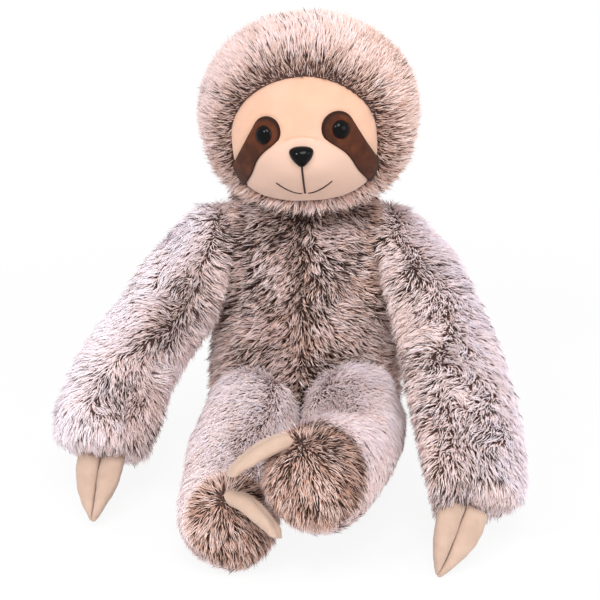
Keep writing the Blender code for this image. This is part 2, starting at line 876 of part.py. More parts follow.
# Every moving piece hangs on an empty that lies on its joint's axis, z along the axis
neck = joint_empty("neck_turn", (0, 0, neck_height), (0, 0, 1))
hang_on(neck, [head_skin, head_stuffing, *face_pieces])
limbs = (
    ("right", -1, (right_arm_skin, right_arm_stuffing), right_hand, right_hand_flex),
    ("left", 1, (left_arm_skin, left_arm_stuffing), left_hand, left_hand_flex),
)
for word, side, arm, claws, flex in limbs:
    shoulder = Vector((side * shoulder_out, -shoulder_forward, shoulder_height))
    swing = joint_empty(word + "_shoulder_swing", shoulder, shoulder_normal(side))
    hang_on(swing, [*arm, flex])
    hang_on(flex, claws)
right_hip = Vector((-hip_out - leg_root_radius, -torso_half_depth * hip_hinge_share, hip_height))
spread = joint_empty("right_hip_spread", right_hip, (0, 0, -1))
hang_on(spread, [right_leg_skin, right_leg_stuffing, right_foot_swing])
hang_on(right_foot_swing, right_foot_pair)
left_hip = Vector((hip_out, -torso_half_depth, hip_height + leg_root_radius))
lift = joint_empty("left_hip_raise", left_hip, (-1, 0, 0))
hang_on(lift, [left_leg_skin, left_leg_stuffing, left_foot_swing])
hang_on(left_foot_swing, left_foot_pair)
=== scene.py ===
"""The finished plush sloth: combed pile on padded skins, a sewn face, plastic eyes and nose, stuffed claws.

Metres, in the frame of the solids: z up, the face looks along -y, left and right are the sloth's own.
"""

import math

import bmesh
import bpy
import numpy as np
from mathutils import Matrix, Vector, noise


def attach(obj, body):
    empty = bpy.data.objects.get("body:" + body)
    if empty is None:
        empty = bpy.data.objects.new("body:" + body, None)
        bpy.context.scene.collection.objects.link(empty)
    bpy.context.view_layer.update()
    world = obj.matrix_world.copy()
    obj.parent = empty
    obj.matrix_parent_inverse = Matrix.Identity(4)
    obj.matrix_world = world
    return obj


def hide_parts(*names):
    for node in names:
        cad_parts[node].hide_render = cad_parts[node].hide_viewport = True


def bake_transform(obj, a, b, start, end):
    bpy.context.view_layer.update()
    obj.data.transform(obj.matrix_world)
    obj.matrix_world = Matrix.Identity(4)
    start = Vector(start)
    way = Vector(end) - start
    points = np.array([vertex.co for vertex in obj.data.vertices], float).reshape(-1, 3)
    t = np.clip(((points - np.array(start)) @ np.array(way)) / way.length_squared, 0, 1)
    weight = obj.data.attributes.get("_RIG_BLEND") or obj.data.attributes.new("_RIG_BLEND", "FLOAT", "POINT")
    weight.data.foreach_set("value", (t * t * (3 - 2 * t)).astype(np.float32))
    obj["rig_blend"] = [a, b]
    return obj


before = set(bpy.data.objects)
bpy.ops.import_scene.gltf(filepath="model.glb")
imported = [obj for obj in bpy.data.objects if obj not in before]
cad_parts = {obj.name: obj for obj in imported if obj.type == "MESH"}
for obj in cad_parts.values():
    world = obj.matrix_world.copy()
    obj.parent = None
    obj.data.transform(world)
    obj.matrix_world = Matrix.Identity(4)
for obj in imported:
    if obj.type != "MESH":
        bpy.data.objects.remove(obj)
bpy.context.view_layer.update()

# Without a seed, vector noise differs from run to run
noise.seed_set(11)

# The sloth's own sides, as the sign of x
sides = {"right": -1, "left": 1}

# Sizes of the solids that the finished pieces follow
touch_gap = 0.0003
torso_half_width = 0.108
torso_half_depth = 0.082
torso_height = 0.298
torso_levels = (-0.0005, -0.0005, -0.0005, 0.036, 0.107, 0.170, 0.2205, 0.259, 0.289, 0.313)
torso_girth_shares = (0.32, 0.56, 0.76, 1.00, 0.99, 0.92, 0.86, 0.83, 0.78, 0.50)
torso_cage_share = 0.975
torso_sides = 10
head_half_sizes = Vector((0.111, 0.100, 0.096))
head_sink = 0.014
head_centre = Vector((0.004, -0.020, torso_height - head_sink + head_half_sizes.z))
shoulder_out = 0.095
shoulder_height = 0.243
shoulder_forward = 0.006
shoulder_face_out = 0.078
shoulder_tilt = math.radians(14)
limb_sides = 8
root_lean = math.radians(55)
end_leans = (math.radians(33), math.radians(66))
arm_end_round_share = 0.35
# For each arm: how far it spreads, reaches and drops, its radii, and the shares of the three at its points
arm_sizes = {
    "right": (
        (0.113, 0.126, 0.174), (0.043, 0.046, 0.052, 0.052),
        ((0.49, 0.34, 0.37), (0.90, 0.74, 0.78), (1.0, 1.0, 1.0)),
    ),
    "left": (
        (0.073, 0.220, 0.179), (0.043, 0.047, 0.054, 0.056),
        ((0.72, 0.31, 0.34), (0.92, 0.65, 0.66), (0.82, 1.0, 1.0)),
    ),
}
hip_out = 0.055
hip_forward = 0.0656
hip_height = 0.068
leg_root_radius = 0.046
leg_middle_radius = 0.047
# For each leg: the middle and radius of its foot, and how far it bows outwards
leg_sizes = {
    "right": (Vector((-0.074, -0.244, 0.0446)), 0.049, 0.006),
    "left": (Vector((0.013, -0.262, 0.098)), 0.058, 0.014),
}

# The plush skins, which lie under the pile
pile_depth = 0.008
contact_gap = 0.0008
floor_clearance = 0.0004
skin_levels = 3
seam_inner_radius = 0.036
seam_outer_radius = 0.044
seam_reach = 0.03
front_seam_half_width = 0.006
front_seam_depth = 0.003
pile_floor = 0.0025
hip_blend = (0.075, 0.115)
torso_floor = 0.0012
torso_lid = 0.001
arm_floor = 0.002
leg_floor = 0.0015
arm_fullness = {"right": 0.006, "left": 0.010}
arm_drawn = {"right": 0.004, "left": 0.008}
arm_drawn_share = {"right": 0.30, "left": 0.50}
arm_end_drop = 0.006
thigh_fullness = 0.0065
thigh_full_share = {"right": 1, "left": 1.45}
# Where each sole's pile parts, and the middle and radius of the darker sole
sole_poles = {"right": Vector((-0.015, -0.49, 0.87)), "left": Vector((-0.35, -0.375, 0.86))}
sole_middles = {"right": Vector((0.30, -0.82, 0.46)), "left": Vector((-0.24, -0.84, 0.47))}
sole_radii = {"right": 0.050, "left": 0.057}
sole_sink_share = 0.9
sole_shades = {"right": 0.46, "left": 0.50}
sole_flecks = {"right": 0.6, "left": 1.0}
heel_side = (0.8, -0.2, -0.6)
heel_fullness = 0.007
cheek_fullness = 0.0035
head_rings = 76
head_segments = 110

# Face, in its own frame: x to the sloth's left, z up, -y out of the face
face_drop = 0.013
face_turn, face_nod, face_tilt = (math.radians(angle) for angle in (-4.5, -2.5, -3.3))
face_round_half_width = 0.101
face_round_half_height = 0.097
face_round_depth = 0.102
muzzle_half_width = 0.040
muzzle_half_height = 0.028
muzzle_down = 0.028
muzzle_fullness = 0.010
face_half_width = 0.0735
face_top = 0.0592
face_bottom = 0.0688
jaw_up_power = 0.50
jaw_side_power = 0.74
face_edge_share = 0.997
cloth_wall = 0.003
suede_wall = 0.002
patch_heads = {"right": Vector((-0.0325, 0.008)), "left": Vector((0.0345, 0.0085))}
patch_head_radii = {"right": 0.0137, "left": 0.0152}
patch_tail = Vector((0.062, -0.033))
patch_tail_radius = 0.0105
patch_tail_overrun = 0.014
patch_hollow = 0.0045
patch_rise = 0.0010
patch_edge_drop = 0.0022
seam_groove = 0.0012
seam_groove_half_width = 0.0011
patch_groove_width = 0.0016
rim_drop = 0.006
brow_top = 0.002
brow_droop = 0.006
brow_half_width = 0.022
eye_outs = {"right": 0.035, "left": 0.0367}
eye_ups = {"right": 0.0045, "left": 0.0066}
eye_radius = 0.0090
eye_height = 0.0058
eye_sink = 0.0006
nose_up = -0.0152
nose_half_width = 0.0128
nose_half_height = 0.0098
nose_height = 0.0090
nose_sink = 0.0008
button_back = 0.001
mouth_top = -0.0235
mouth_foot = -0.0538
smile_start = 0.0030
smile_width = 0.0235
smile_rise = 0.0118
smile_lift = 0.0003
thread_rise = 0.0002
line_thread_radius = 0.00095
smile_thread_radius = 0.00070
thread_sides = 8

# Claws
claw_length = 0.069
claw_width = 0.025
claw_half_thickness = 0.0075
claw_bend = 0.012
claw_stations = (-0.10, 0.05, 0.25, 0.42, 0.62, 0.80, 0.92, 1.00)
claw_thickness_shares = (0.60, 0.95, 1.02, 1.00, 0.95, 0.80, 0.62, 0.25)
# For each kind: its width shares, where its root starts, its length and width shares, and its bend
claw_forms = {
    "hand": ((0.90, 1.00, 0.99, 0.90, 0.72, 0.45, 0.25, 0.10), -0.05, 0.96, 1.0, claw_bend),
    "foot": ((0.86, 1.00, 1.00, 0.96, 0.86, 0.77, 0.74, 0.40), 0.08, 0.92, 0.56, claw_bend * 1.7),
}

# Studio
camera_place = Vector((-0.005, -1.2147, 0.6112))
camera_tilt = math.radians(20)
camera_lens = 72
sensor_width = 36


class Port:
    """A socket in an expression: each operator adds the Math node that works it out."""

    def __init__(self, nodes, socket):
        self.nodes = nodes
        self.socket = socket

    def __add__(self, other):
        return self.nodes.maths("ADD", self, other)

    def __radd__(self, other):
        return self.nodes.maths("ADD", other, self)

    def __sub__(self, other):
        return self.nodes.maths("SUBTRACT", self, other)

    def __rsub__(self, other):
        return self.nodes.maths("SUBTRACT", other, self)

    def __mul__(self, other):
        return self.nodes.maths("MULTIPLY", self, other)

    def __rmul__(self, other):
        return self.nodes.maths("MULTIPLY", other, self)

    def __truediv__(self, other):
        return self.nodes.maths("DIVIDE", self, other)

    def __rtruediv__(self, other):
        return self.nodes.maths("DIVIDE", other, self)


class Nodes:
    """A node tree that is written as expressions."""

    def __init__(self, tree):
        self.tree = tree

    def feed(self, socket, value):
        value = value.socket if isinstance(value, Port) else value
        if isinstance(value, bpy.types.NodeSocket):
            self.tree.links.new(value, socket)
        else:
            socket.default_value = value

    def node(self, kind, settings=None, sockets=None, out=0):
        """Adds a node: its settings first, then the values or links of its sockets. Gives one output."""
        made = self.tree.nodes.new(kind)
        for word, value in (settings or {}).items():
            if word == "stops":
                ramp = made.color_ramp
                while len(ramp.elements) < len(value):
                    ramp.elements.new(1)
                for stop, (place, colour) in zip(ramp.elements, value):
                    stop.position = place
                    stop.color = colour
            else:
                setattr(made, word, value)
        for word, value in (sockets or {}).items():
            self.feed(made.inputs[word], value)
        return Port(self, made.outputs[out])

    def maths(self, operation, *values):
        return self.node("ShaderNodeMath", {"operation": operation}, dict(enumerate(values)))

    def vector(self, operation, *values):
        return self.node("ShaderNodeVectorMath", {"operation": operation}, dict(enumerate(values)))

    def scaled(self, vector, share):
        return self.node("ShaderNodeVectorMath", {"operation": "SCALE"}, {0: vector, "Scale": share})

    def dot(self, first, second):
        return self.node("ShaderNodeVectorMath", {"operation": "DOT_PRODUCT"}, {0: first, 1: second}, "Value")

    def split(self, vector):
        made = self.node("ShaderNodeSeparateXYZ", None, {0: vector})
        return [Port(self, socket) for socket in made.socket.node.outputs]

    def joined(self, x, y, z):
        return self.node("ShaderNodeCombineXYZ", None, {0: x, 1: y, 2: z})

    def colours(self, share, first, second):
        return self.node("ShaderNodeMix", {"data_type": "RGBA"}, {0: share, 6: first, 7: second}, 2)

    def between(self, value, low, high):
        """0 below low, 1 above high, and a smooth step from one to the other."""
        settings = {"interpolation_type": "SMOOTHSTEP"}
        return self.node("ShaderNodeMapRange", settings, {"Value": value, "From Min": low, "From Max": high})


    def seen(self):
        """1 where a ray comes from the camera, straight or by a shiny or a clear surface, and 0 elsewhere."""
        path = self.tree.nodes.new("ShaderNodeLightPath")
        words = ("Is Camera Ray", "Is Glossy Ray", "Is Transmission Ray")
        straight, glossy, through = (Port(self, path.outputs[word]) for word in words)
        return self.maths("MAXIMUM", self.maths("MAXIMUM", straight, glossy), through)


class Finish(Nodes):
    """A material: a Principled shader whose colour, roughness and bump are worked out by expressions."""

    def __init__(self, name, roughness, sheen=0.0, specular=0.5):
        self.material = bpy.data.materials.new(name)
        self.material.use_nodes = True
        super().__init__(self.material.node_tree)
        self.shader = self.tree.nodes["Principled BSDF"]
        self.put("Roughness", roughness)
        self.put("Sheen Weight", sheen)
        self.put("Specular IOR Level", specular)

    def put(self, word, value):
        self.feed(self.shader.inputs[word], value)

    def coordinates(self):
        return self.node("ShaderNodeTexCoord", None, None, "Object")

    def grain(self, scale, detail=3.0):
        sockets = {"Vector": self.coordinates(), "Scale": scale, "Detail": detail, "Roughness": 0.55}
        return self.node("ShaderNodeTexNoise", None, sockets)

    def attribute(self, name):
        return self.node("ShaderNodeAttribute", {"attribute_name": name}, None, "Fac")

    def bump(self, height, distance, strength=1.0):
        sockets = {"Height": height, "Distance": distance, "Strength": strength}
        self.put("Normal", self.node("ShaderNodeBump", None, sockets))


def srgb(*parts):
    """A colour as it is read off a screen, as the linear values that a shader takes."""
    linear = [((part / 255 + 0.055) / 1.055) ** 2.4 if part > 10 else part / 255 / 12.92 for part in parts]
    return (*linear, 1)


# Finishes


def pile_finish(name):
    """Dark at the root and pale at the tip: u tints the lock, v runs along it."""
    made = Finish(name, 0.70, sheen=0.15, specular=0.20)
    tint, along, _ = made.split(made.node("ShaderNodeUVMap", {"uv_map": "OFBake"}))
    tips = (
        (0.00, srgb(44, 28, 23)),
        (0.10, srgb(92, 58, 44)),
        (0.16, srgb(194, 150, 132)),
        (0.36, srgb(228, 193, 177)),
        (0.56, srgb(242, 215, 207)),
        (0.76, srgb(248, 229, 227)),
        (0.90, srgb(250, 234, 236)),
        (1.00, srgb(246, 238, 246)),
    )
    roots = (
        (0.00, srgb(18, 11, 9)),
        (0.30, srgb(58, 36, 29)),
        (0.55, srgb(134, 101, 88)),
        (0.80, srgb(222, 194, 184)),
        (1.00, srgb(232, 216, 216)),
    )
    tip, root = (made.node("ShaderNodeValToRGB", {"stops": stops}, {0: tint}) for stops in (tips, roots))
    made.put("Base Color", made.colours(made.between(along, 0.05, 0.36), root, tip))
    return made.material


def skin_finish():
    made = Finish("pile_backing", 0.95)
    shade = made.grain(420)
    made.put("Base Color", made.colours(shade, srgb(46, 30, 27), srgb(104, 74, 66)))
    made.bump(shade, 0.0006)
    return made.material


def cloth_finish(name, light, dark, warm, rosy=None):
    """Short-pile cloth: a fine nap, soft patches where it was stroked, and a warmer tone in places."""
    made = Finish(name, 0.85, sheen=0.35, specular=0.25)
    nap = made.grain(2600, 2.0)
    stroke = made.grain(55, 3.0)
    tone = made.grain(16, 2.0)
    base = made.colours(0.45 + made.between(stroke, 0.30, 0.72) * 0.5, dark, light)
    base = made.colours(made.between(tone, 0.42, 0.70) * 0.35, base, warm)
    base = made.colours(nap * 0.22, base, dark)
    if rosy:
        base = made.colours(made.attribute("muzzle") * 0.75, base, rosy)
    made.put("Base Color", base)
    made.put("Roughness", 0.80 + nap * 0.15)
    made.bump(nap * 0.7 + stroke * 0.3, 0.0004, 0.55)
    return made.material


def suede_finish():
    """Brown suede with a stroked nap, darker where its edge turns into the seam."""
    made = Finish("brown_suede", 0.82, sheen=0.1, specular=0.15)
    nap = made.grain(1900, 3.0)
    stroke = made.grain(70, 3.0)
    rim = made.attribute("rim")
    base = made.colours(made.between(stroke, 0.3, 0.7), srgb(66, 33, 19), srgb(98, 51, 30))
    base = made.colours(nap * 0.35, base, srgb(54, 27, 16))
    base = made.colours(made.between(rim, 0.84, 0.95) * 0.92, base, srgb(38, 19, 12))
    made.put("Base Color", base)
    made.bump(nap, 0.0004, 0.6)
    return made.material


def plastic_finish(name, dark, glow):
    """Polished moulded plastic with faint rub marks: glow is the tone that shows at its rim."""
    made = Finish(name, 0.08, specular=0.12)
    rim = made.attribute("rim")
    haze = made.grain(320, 4.0)
    made.put("Base Color", made.colours(made.between(rim, 0.86, 0.97), dark, glow))
    made.put("Roughness", 0.04 + made.between(haze, 0.5, 0.8) * 0.08)
    return made.material


def thread_finish():
    made = Finish("mouth_thread", 0.7)
    twist = made.grain(900, 2.0)
    made.put("Base Color", made.colours(twist, srgb(30, 16, 12), srgb(70, 42, 32)))
    made.bump(twist, 0.0003)
    return made.material


cream_tones = (srgb(225, 182, 158), srgb(211, 166, 142), srgb(223, 170, 138), srgb(220, 187, 170))
claw_tones = (srgb(207, 179, 161), srgb(181, 152, 134), srgb(197, 163, 138))
long_pile = pile_finish("long_pile")
pile_backing = skin_finish()
cream_cloth = cloth_finish("cream_cloth", *cream_tones)
claw_cloth = cloth_finish("claw_cloth", *claw_tones)
brown_suede = suede_finish()
eye_plastic = plastic_finish("eye_plastic", srgb(6, 5, 6), srgb(44, 24, 17))
nose_plastic = plastic_finish("nose_plastic", srgb(7, 6, 7), srgb(14, 11, 11))
mouth_thread = thread_finish()


# Meshes


def rows_of(mesh, word):
    """A vector that the mesh keeps at each point, as rows of a float array."""
    flat = np.empty(len(mesh.vertices) * 3, np.float32)
    mesh.vertices.foreach_get(word, flat)
    return flat.reshape(-1, 3).astype(float)


def places(mesh):
    return rows_of(mesh, "co")


def outward(mesh):
    return rows_of(mesh, "normal")


def move_to(mesh, points):
    mesh.vertices.foreach_set("co", np.ascontiguousarray(points, np.float32).ravel())
    mesh.update()


def note(mesh, name, values):
    """Keeps a number or a vector at each point of the mesh."""
    values = np.asarray(values, np.float32)
    kind, word = ("FLOAT_VECTOR", "vector") if values.ndim == 2 else ("FLOAT", "value")
    layer = mesh.attributes.get(name) or mesh.attributes.new(name, kind, "POINT")
    layer.data.foreach_set(word, np.ascontiguousarray(values).ravel())


def kept(mesh, name):
    """The numbers that the mesh keeps at its points under that name."""
    values = np.empty(len(mesh.vertices), np.float32)
    mesh.attributes[name].data.foreach_get("value", values)
    return values


def unit(rows):
    return rows / np.maximum(np.linalg.norm(rows, axis=1, keepdims=True), 1e-9)


def smooth_step(value, low, high):
    share = np.clip((value - low) / (high - low), 0, 1)
    return share * share * (3 - 2 * share)


def placed(name, data):
    """A new object in the scene that holds the given mesh, lamp or camera."""
    thing = bpy.data.objects.new(name, data)
    bpy.context.scene.collection.objects.link(thing)
    return thing


def new_piece(name, mesh, material=None):
    if material:
        mesh.materials.clear()
        mesh.materials.append(material)
    return placed(name, mesh)


def mesh_of(name, shape):
    """Ends a bmesh as a smooth mesh."""
    mesh = bpy.data.meshes.new(name)
    shape.to_mesh(mesh)
    shape.free()
    mesh.shade_smooth()
    return mesh


def settled(piece):
    """The piece with its modifiers worked into a plain mesh."""
    graph = bpy.context.evaluated_depsgraph_get()
    graph.update()
    mesh = bpy.data.meshes.new_from_object(piece.evaluated_get(graph))
    old = piece.data
    piece.modifiers.clear()
    piece.data = mesh
    mesh.name = piece.name
    bpy.data.meshes.remove(old)
    return piece


def subdivided(piece, levels):
    step = piece.modifiers.new("rounding", "SUBSURF")
    step.levels = levels
    step.render_levels = levels
    return settled(piece)


def walled(piece, thickness):
    """Gives a sheet its thickness on the inner side."""
    wall = piece.modifiers.new("wall", "SOLIDIFY")
    wall.thickness = thickness
    wall.offset = -1
    return settled(piece)


def frame_along(direction, side):
    z = direction.normalized()
    x = (side - z * side.dot(z)).normalized()
    return Matrix((x, z.cross(x), z)).transposed()


def full_turn(steps, first=0.0):
    """The angles of that many even steps round a circle."""
    return [2 * math.pi * (step + first) / steps for step in range(steps)]


def ring_faces(shape, loops):
    """Joins rings of points, each with the same count, into rows of quads. Gives the rings' corners."""
    rows = [[shape.verts.new(point) for point in loop] for loop in loops]
    count = len(rows[0])
    for lower, upper in zip(rows, rows[1:]):
        for step in range(count):
            after = (step + 1) % count
            shape.faces.new((lower[step], lower[after], upper[after], upper[step]))
    shape.faces.new(rows[0][::-1])
    return rows


def lofted(name, loops):
    """A closed skin over rings of points, with one face at either end, and all faces outwards."""
    shape = bmesh.new()
    rows = ring_faces(shape, loops)
    shape.faces.new(rows[-1])
    bmesh.ops.remove_doubles(shape, verts=shape.verts, dist=1e-6)
    bmesh.ops.recalc_face_normals(shape, faces=shape.faces)
    return mesh_of(name, shape)


def cage_rings(rings, count):
    """Rings of a cage whose rounded skin keeps the given half sizes."""
    swell = 1 / math.cos(math.pi / count)
    loops = []
    for centre, turn, half_width, half_depth in rings:
        angles = full_turn(count, 0.5)
        spokes = [Vector((half_width * math.cos(a), half_depth * math.sin(a), 0)) * swell for a in angles]
        loops.append([centre + turn @ spoke for spoke in spokes])
    return loops


def limb_rings(points, radii, end_share):
    """Rings along a limb, with a round end beyond its first and its last point."""
    last = len(points) - 1
    tangents = [(points[min(i + 1, last)] - points[max(i - 1, 0)]).normalized() for i in range(last + 1)]
    side = Vector((1, 0, 0))
    centre = points[0] - tangents[0] * radii[0] * math.sin(root_lean)
    half = radii[0] * math.cos(root_lean)
    rings = [(centre, frame_along(tangents[0], side), half, half)]
    rings += [(p, frame_along(t, side), r, r) for p, t, r in zip(points, tangents, radii)]
    for lean in end_leans:
        centre = points[-1] + tangents[-1] * radii[-1] * end_share * math.sin(lean)
        half = radii[-1] * math.cos(lean)
        rings.append((centre, frame_along(tangents[-1], side), half, half))
    return rings


def rounded_skin(name, loops):
    """A rounded plush skin over a cage: the piece, its points and the directions outwards."""
    piece = subdivided(new_piece(name, lofted(name, loops), pile_backing), skin_levels)
    return piece, places(piece.data), outward(piece.data)


def swirl(points, size, seed):
    """A smooth random vector at each point, which varies over the given size."""
    shift = Vector((seed * 7.3, seed * 3.1, seed * 5.7))
    return np.array([noise.noise_vector(Vector(p) / size + shift) for p in points])


def ruffled(points, size, seed):
    """Like swirl, with a finer one on top."""
    return swirl(points, size, seed) + 0.55 * swirl(points, size * 0.38, seed + 0.5)


def along_path(points, path):
    """For each point: its distance to a path, its share along it, and the path's direction there."""
    best = np.full(len(points), np.inf)
    share = np.zeros(len(points))
    heading = np.zeros((len(points), 3))
    count = len(path) - 1
    for step in range(count):
        start, end = np.array(path[step]), np.array(path[step + 1])
        line = end - start
        part = np.clip(((points - start) @ line) / (line @ line), 0, 1)
        away = np.linalg.norm(points - start - part[:, None] * line, axis=1)
        nearer = away < best
        best[nearer] = away[nearer]
        share[nearer] = (step + part[nearer]) / count
        heading[nearer] = line / np.linalg.norm(line)
    return best, share, heading


# The padded skins


def shoulder_normal(side):
    return np.array((side * math.cos(shoulder_tilt), 0, math.sin(shoulder_tilt)))


def shoulder_middle(side):
    return np.array((side * shoulder_face_out, -shoulder_forward, shoulder_height))


def past_shoulder(points, side):
    """How far each point lies outwards of the flat seam between the torso and the arm on that side."""
    return (points - shoulder_middle(side)) @ shoulder_normal(side)


def torso_share(points):
    """How far out each point lies of the torso's side, as a share: 1 is on its surface."""
    girth = np.interp(points[:, 2], torso_levels, torso_girth_shares) * torso_cage_share
    wide = points[:, 0] / (torso_half_width * girth)
    deep = points[:, 1] / (torso_half_depth * girth)
    return np.sqrt(wide * wide + deep * deep)


def arm_path(word):
    (spread, reach, drop), _, shares = arm_sizes[word]
    start = Vector((sides[word] * shoulder_out, -shoulder_forward, shoulder_height))
    out = sides[word] * spread
    return [start] + [start + Vector((out * x, -reach * y, -drop * z)) for x, y, z in shares]


def leg_path(word):
    foot, _, bow = leg_sizes[word]
    hip = Vector((sides[word] * hip_out, -hip_forward, hip_height))
    bulge = Vector((sides[word] * bow, 0, 0))
    return [hip] + [hip + (foot - hip) * share + bulge for share in (1 / 3, 2 / 3)] + [foot]


# Each limb's path, and the radius inside which the pile of its neighbours makes way
limb_paths = {
    "right_arm": (arm_path("right"), 0.046),
    "left_arm": (arm_path("left"), 0.048),
    "right_leg": (leg_path("right"), 0.040),
    "left_leg": (leg_path("left"), 0.042),
}


def free_of(points, words, low=-0.008, high=0.0):
    """1 where a point is clear of the named limbs, 0 where one of them lies against it."""
    clear = np.ones(len(points))
    for word in words:
        path, radius = limb_paths[word]
        away, _, _ = along_path(points, path)
        clear = np.minimum(clear, smooth_step(away, radius + low, radius + high))
    return clear


def off_seam(points, side):
    """0 on the round seam of the shoulder on that side, 1 away from it."""
    away = points - shoulder_middle(side)
    along = away @ shoulder_normal(side)
    radial = np.linalg.norm(away - along[:, None] * shoulder_normal(side), axis=1)
    return np.maximum(smooth_step(radial, seam_inner_radius, seam_outer_radius), along < -seam_reach)


def set_pile(piece, comb, **sizes):
    """Notes how the pile grows: its direction, how steeply (lift), where (cover), how pale (shade), how
    flecked (fleck), how long (reach) and how strongly it gathers in clumps (gather)."""
    note(piece.data, "comb", comb)
    for name, values in sizes.items():
        note(piece.data, name, np.broadcast_to(values, len(comb)))


def flecked(points, low, high, seed):
    """Dark guard hairs come in drifts: their share at each point, between low and high."""
    drift = swirl(points, 0.035, seed)[:, 0] + 0.5 * swirl(points, 0.014, seed + 1)[:, 1]
    return low + (high - low) * smooth_step(drift, -0.25, 0.45)


def make_torso():
    """The body: drawn in along its front seam, and flat where it sits and where the arms are sewn on."""
    rings = [
        (Vector((0, 0, level)), Matrix.Identity(3), torso_half_width * share, torso_half_depth * share)
        for level, share in zip(torso_levels, torso_girth_shares)
    ]
    piece, points, normals = rounded_skin("torso_plush", cage_rings(rings, torso_sides))
    cover = free_of(points, ("right_leg", "left_leg"))
    for side in sides.values():
        cover *= off_seam(points, side)
    apart = free_of(points, ("right_arm", "left_arm"), 0.0, 0.022)
    sunk = pile_depth * (0.15 + 0.85 * apart) * smooth_step(points[:, 2], 0.0, 0.03)
    seam = np.exp(-((points[:, 0] / front_seam_half_width) ** 2)) * (normals[:, 1] < 0)
    dent = swirl(points, 0.06, 1)[:, 0] * 0.003 * cover
    points = points - normals * (sunk + seam * front_seam_depth + dent)[:, None]
    for side in sides.values():
        beyond = past_shoulder(points, side) + contact_gap
        points -= np.maximum(beyond, 0)[:, None] * shoulder_normal(side)
    points[:, 2] = np.clip(points[:, 2], torso_floor, torso_height - torso_lid)
    move_to(piece.data, points)
    note_torso_pile(piece, points, normals, cover, apart, seam)
    return piece


def note_torso_pile(piece, points, normals, cover, apart, seam):
    """Parted at the front seam, combed down and towards the arms, and standing in a ring round the head."""
    front = smooth_step(-normals[:, 1], -0.2, 0.6)
    aside = np.tanh(points[:, 0] / 0.012)
    left_half = smooth_step(points[:, 0], -0.01, 0.02)
    comb = np.stack([aside * (0.15 + 0.95 * front), 0 * front, -0.9 + 0.35 * front], 1)
    comb = comb * (1 - 0.35 * left_half)[:, None]
    comb += ruffled(points, 0.04, 2) * (0.8 + 0.7 * left_half)[:, None]
    for side in sides.values():
        near = smooth_step(points @ shoulder_normal(side), 0.055, 0.085) * (1 - apart)
        comb += shoulder_normal(side) * 1.6 * near[:, None]
    comb[:, :2] += points[:, :2] * (12 * (normals[:, 2] > 0.5))[:, None]
    x_share = (points[:, 0] - head_centre.x) / head_half_sizes.x
    y_share = (points[:, 1] - head_centre.y) / head_half_sizes.y
    beside_head = np.hypot(x_share, y_share) > 0.58
    cover = cover * (points[:, 2] > pile_floor) * np.maximum(points[:, 2] < torso_height - 0.004, beside_head)
    lift = 0.50 + 0.16 * front - 0.25 * (normals[:, 2] < -0.5)
    # Besides its darker front and seam, the tint is darker where the arms lie against the torso: painted
    # shade
    shade = 0.70 - 0.12 * front - 0.22 * seam - 0.12 * (1 - apart) + 0.14 * swirl(points, 0.05, 62)[:, 0]
    # Painted shade: the tint is darker at the top of the torso, under the head
    shade -= 0.10 * smooth_step(points[:, 2], 0.262, 0.290)
    # Painted light: the tint is paler on the upper part of the sloth's right side, which faces the key lamp
    shade += 0.10 * smooth_step(-points[:, 0], 0.0, 0.05) * smooth_step(points[:, 2], 0.16, 0.22)
    fleck = flecked(points, 0.06, 0.46, 50) * (0.5 + 0.5 * front) + 0.3 * seam
    set_pile(piece, comb, lift=lift, cover=cover, shade=shade, fleck=fleck, reach=1.0, gather=1.2)


def make_arm(word):
    """An arm: flat at the shoulder, full on its inner side towards the hand, and blunt at its end."""
    side = sides[word]
    path = arm_path(word)
    loops = cage_rings(limb_rings(path, arm_sizes[word][1], arm_end_round_share), limb_sides)
    piece, points, normals = rounded_skin(word + "_arm_plush", loops)
    _, share, heading = along_path(points, path)
    inner = past_shoulder(points, side)
    cover = np.maximum(inner > 0.0012, off_seam(points, side))
    away = smooth_step(inner, 0.0, 0.030)
    dent = swirl(points, 0.055, 3 + side)[:, 0] * 0.004 * away
    fuller = arm_fullness[word] * smooth_step(-side * normals[:, 0], 0.0, 0.8)
    fuller *= smooth_step(share, 0.35, 0.75)
    points = points + normals * (fuller - pile_depth * (0.12 + 0.88 * away) - dent)[:, None]
    drawn = np.exp(-(((share - arm_drawn_share[word]) / 0.22) ** 2))
    points[:, 0] -= side * arm_drawn[word] * drawn
    outer_end = smooth_step(share, 0.88, 1.0) * smooth_step(side * normals[:, 0], -0.3, 0.5)
    points[:, 2] -= arm_end_drop * outer_end
    gap = past_shoulder(points, side) - contact_gap
    points += np.maximum(-gap, 0)[:, None] * shoulder_normal(side)
    points[:, 2] = np.maximum(points[:, 2], arm_floor)
    move_to(piece.data, points)

    # The pile runs down the arm and off its end, tinted palest and least flecked where it faces out and up,
    # which is painted light
    around = normals * np.array((1, 0.2, 1))
    comb = heading * 0.75 + around * 0.65 + ruffled(points, 0.036, 5 + side) * 0.95
    comb -= shoulder_normal(side) * (1.6 * (1 - away))[:, None]
    end = smooth_step(share, 0.86, 0.99)[:, None]
    comb = comb * (1 - 0.7 * end) + np.array((0, -0.3, -1.3)) * end
    lit = smooth_step(side * normals[:, 0] + 0.4 * normals[:, 2], -0.3, 0.8)
    # Painted shade: the tint is darker next to the shoulder seam, where the arm meets the torso
    shade = 0.75 + 0.19 * lit - 0.10 * (1 - away) + 0.10 * swirl(points, 0.05, 64)[:, 0]
    fleck = flecked(points, 0.0, 0.34, 52 + side) * (1 - 0.65 * lit)
    lift = 0.48 - 0.12 * lit
    set_pile(piece, comb, lift=lift, cover=cover, shade=shade, fleck=fleck, reach=1.0, gather=1.0)
    return piece


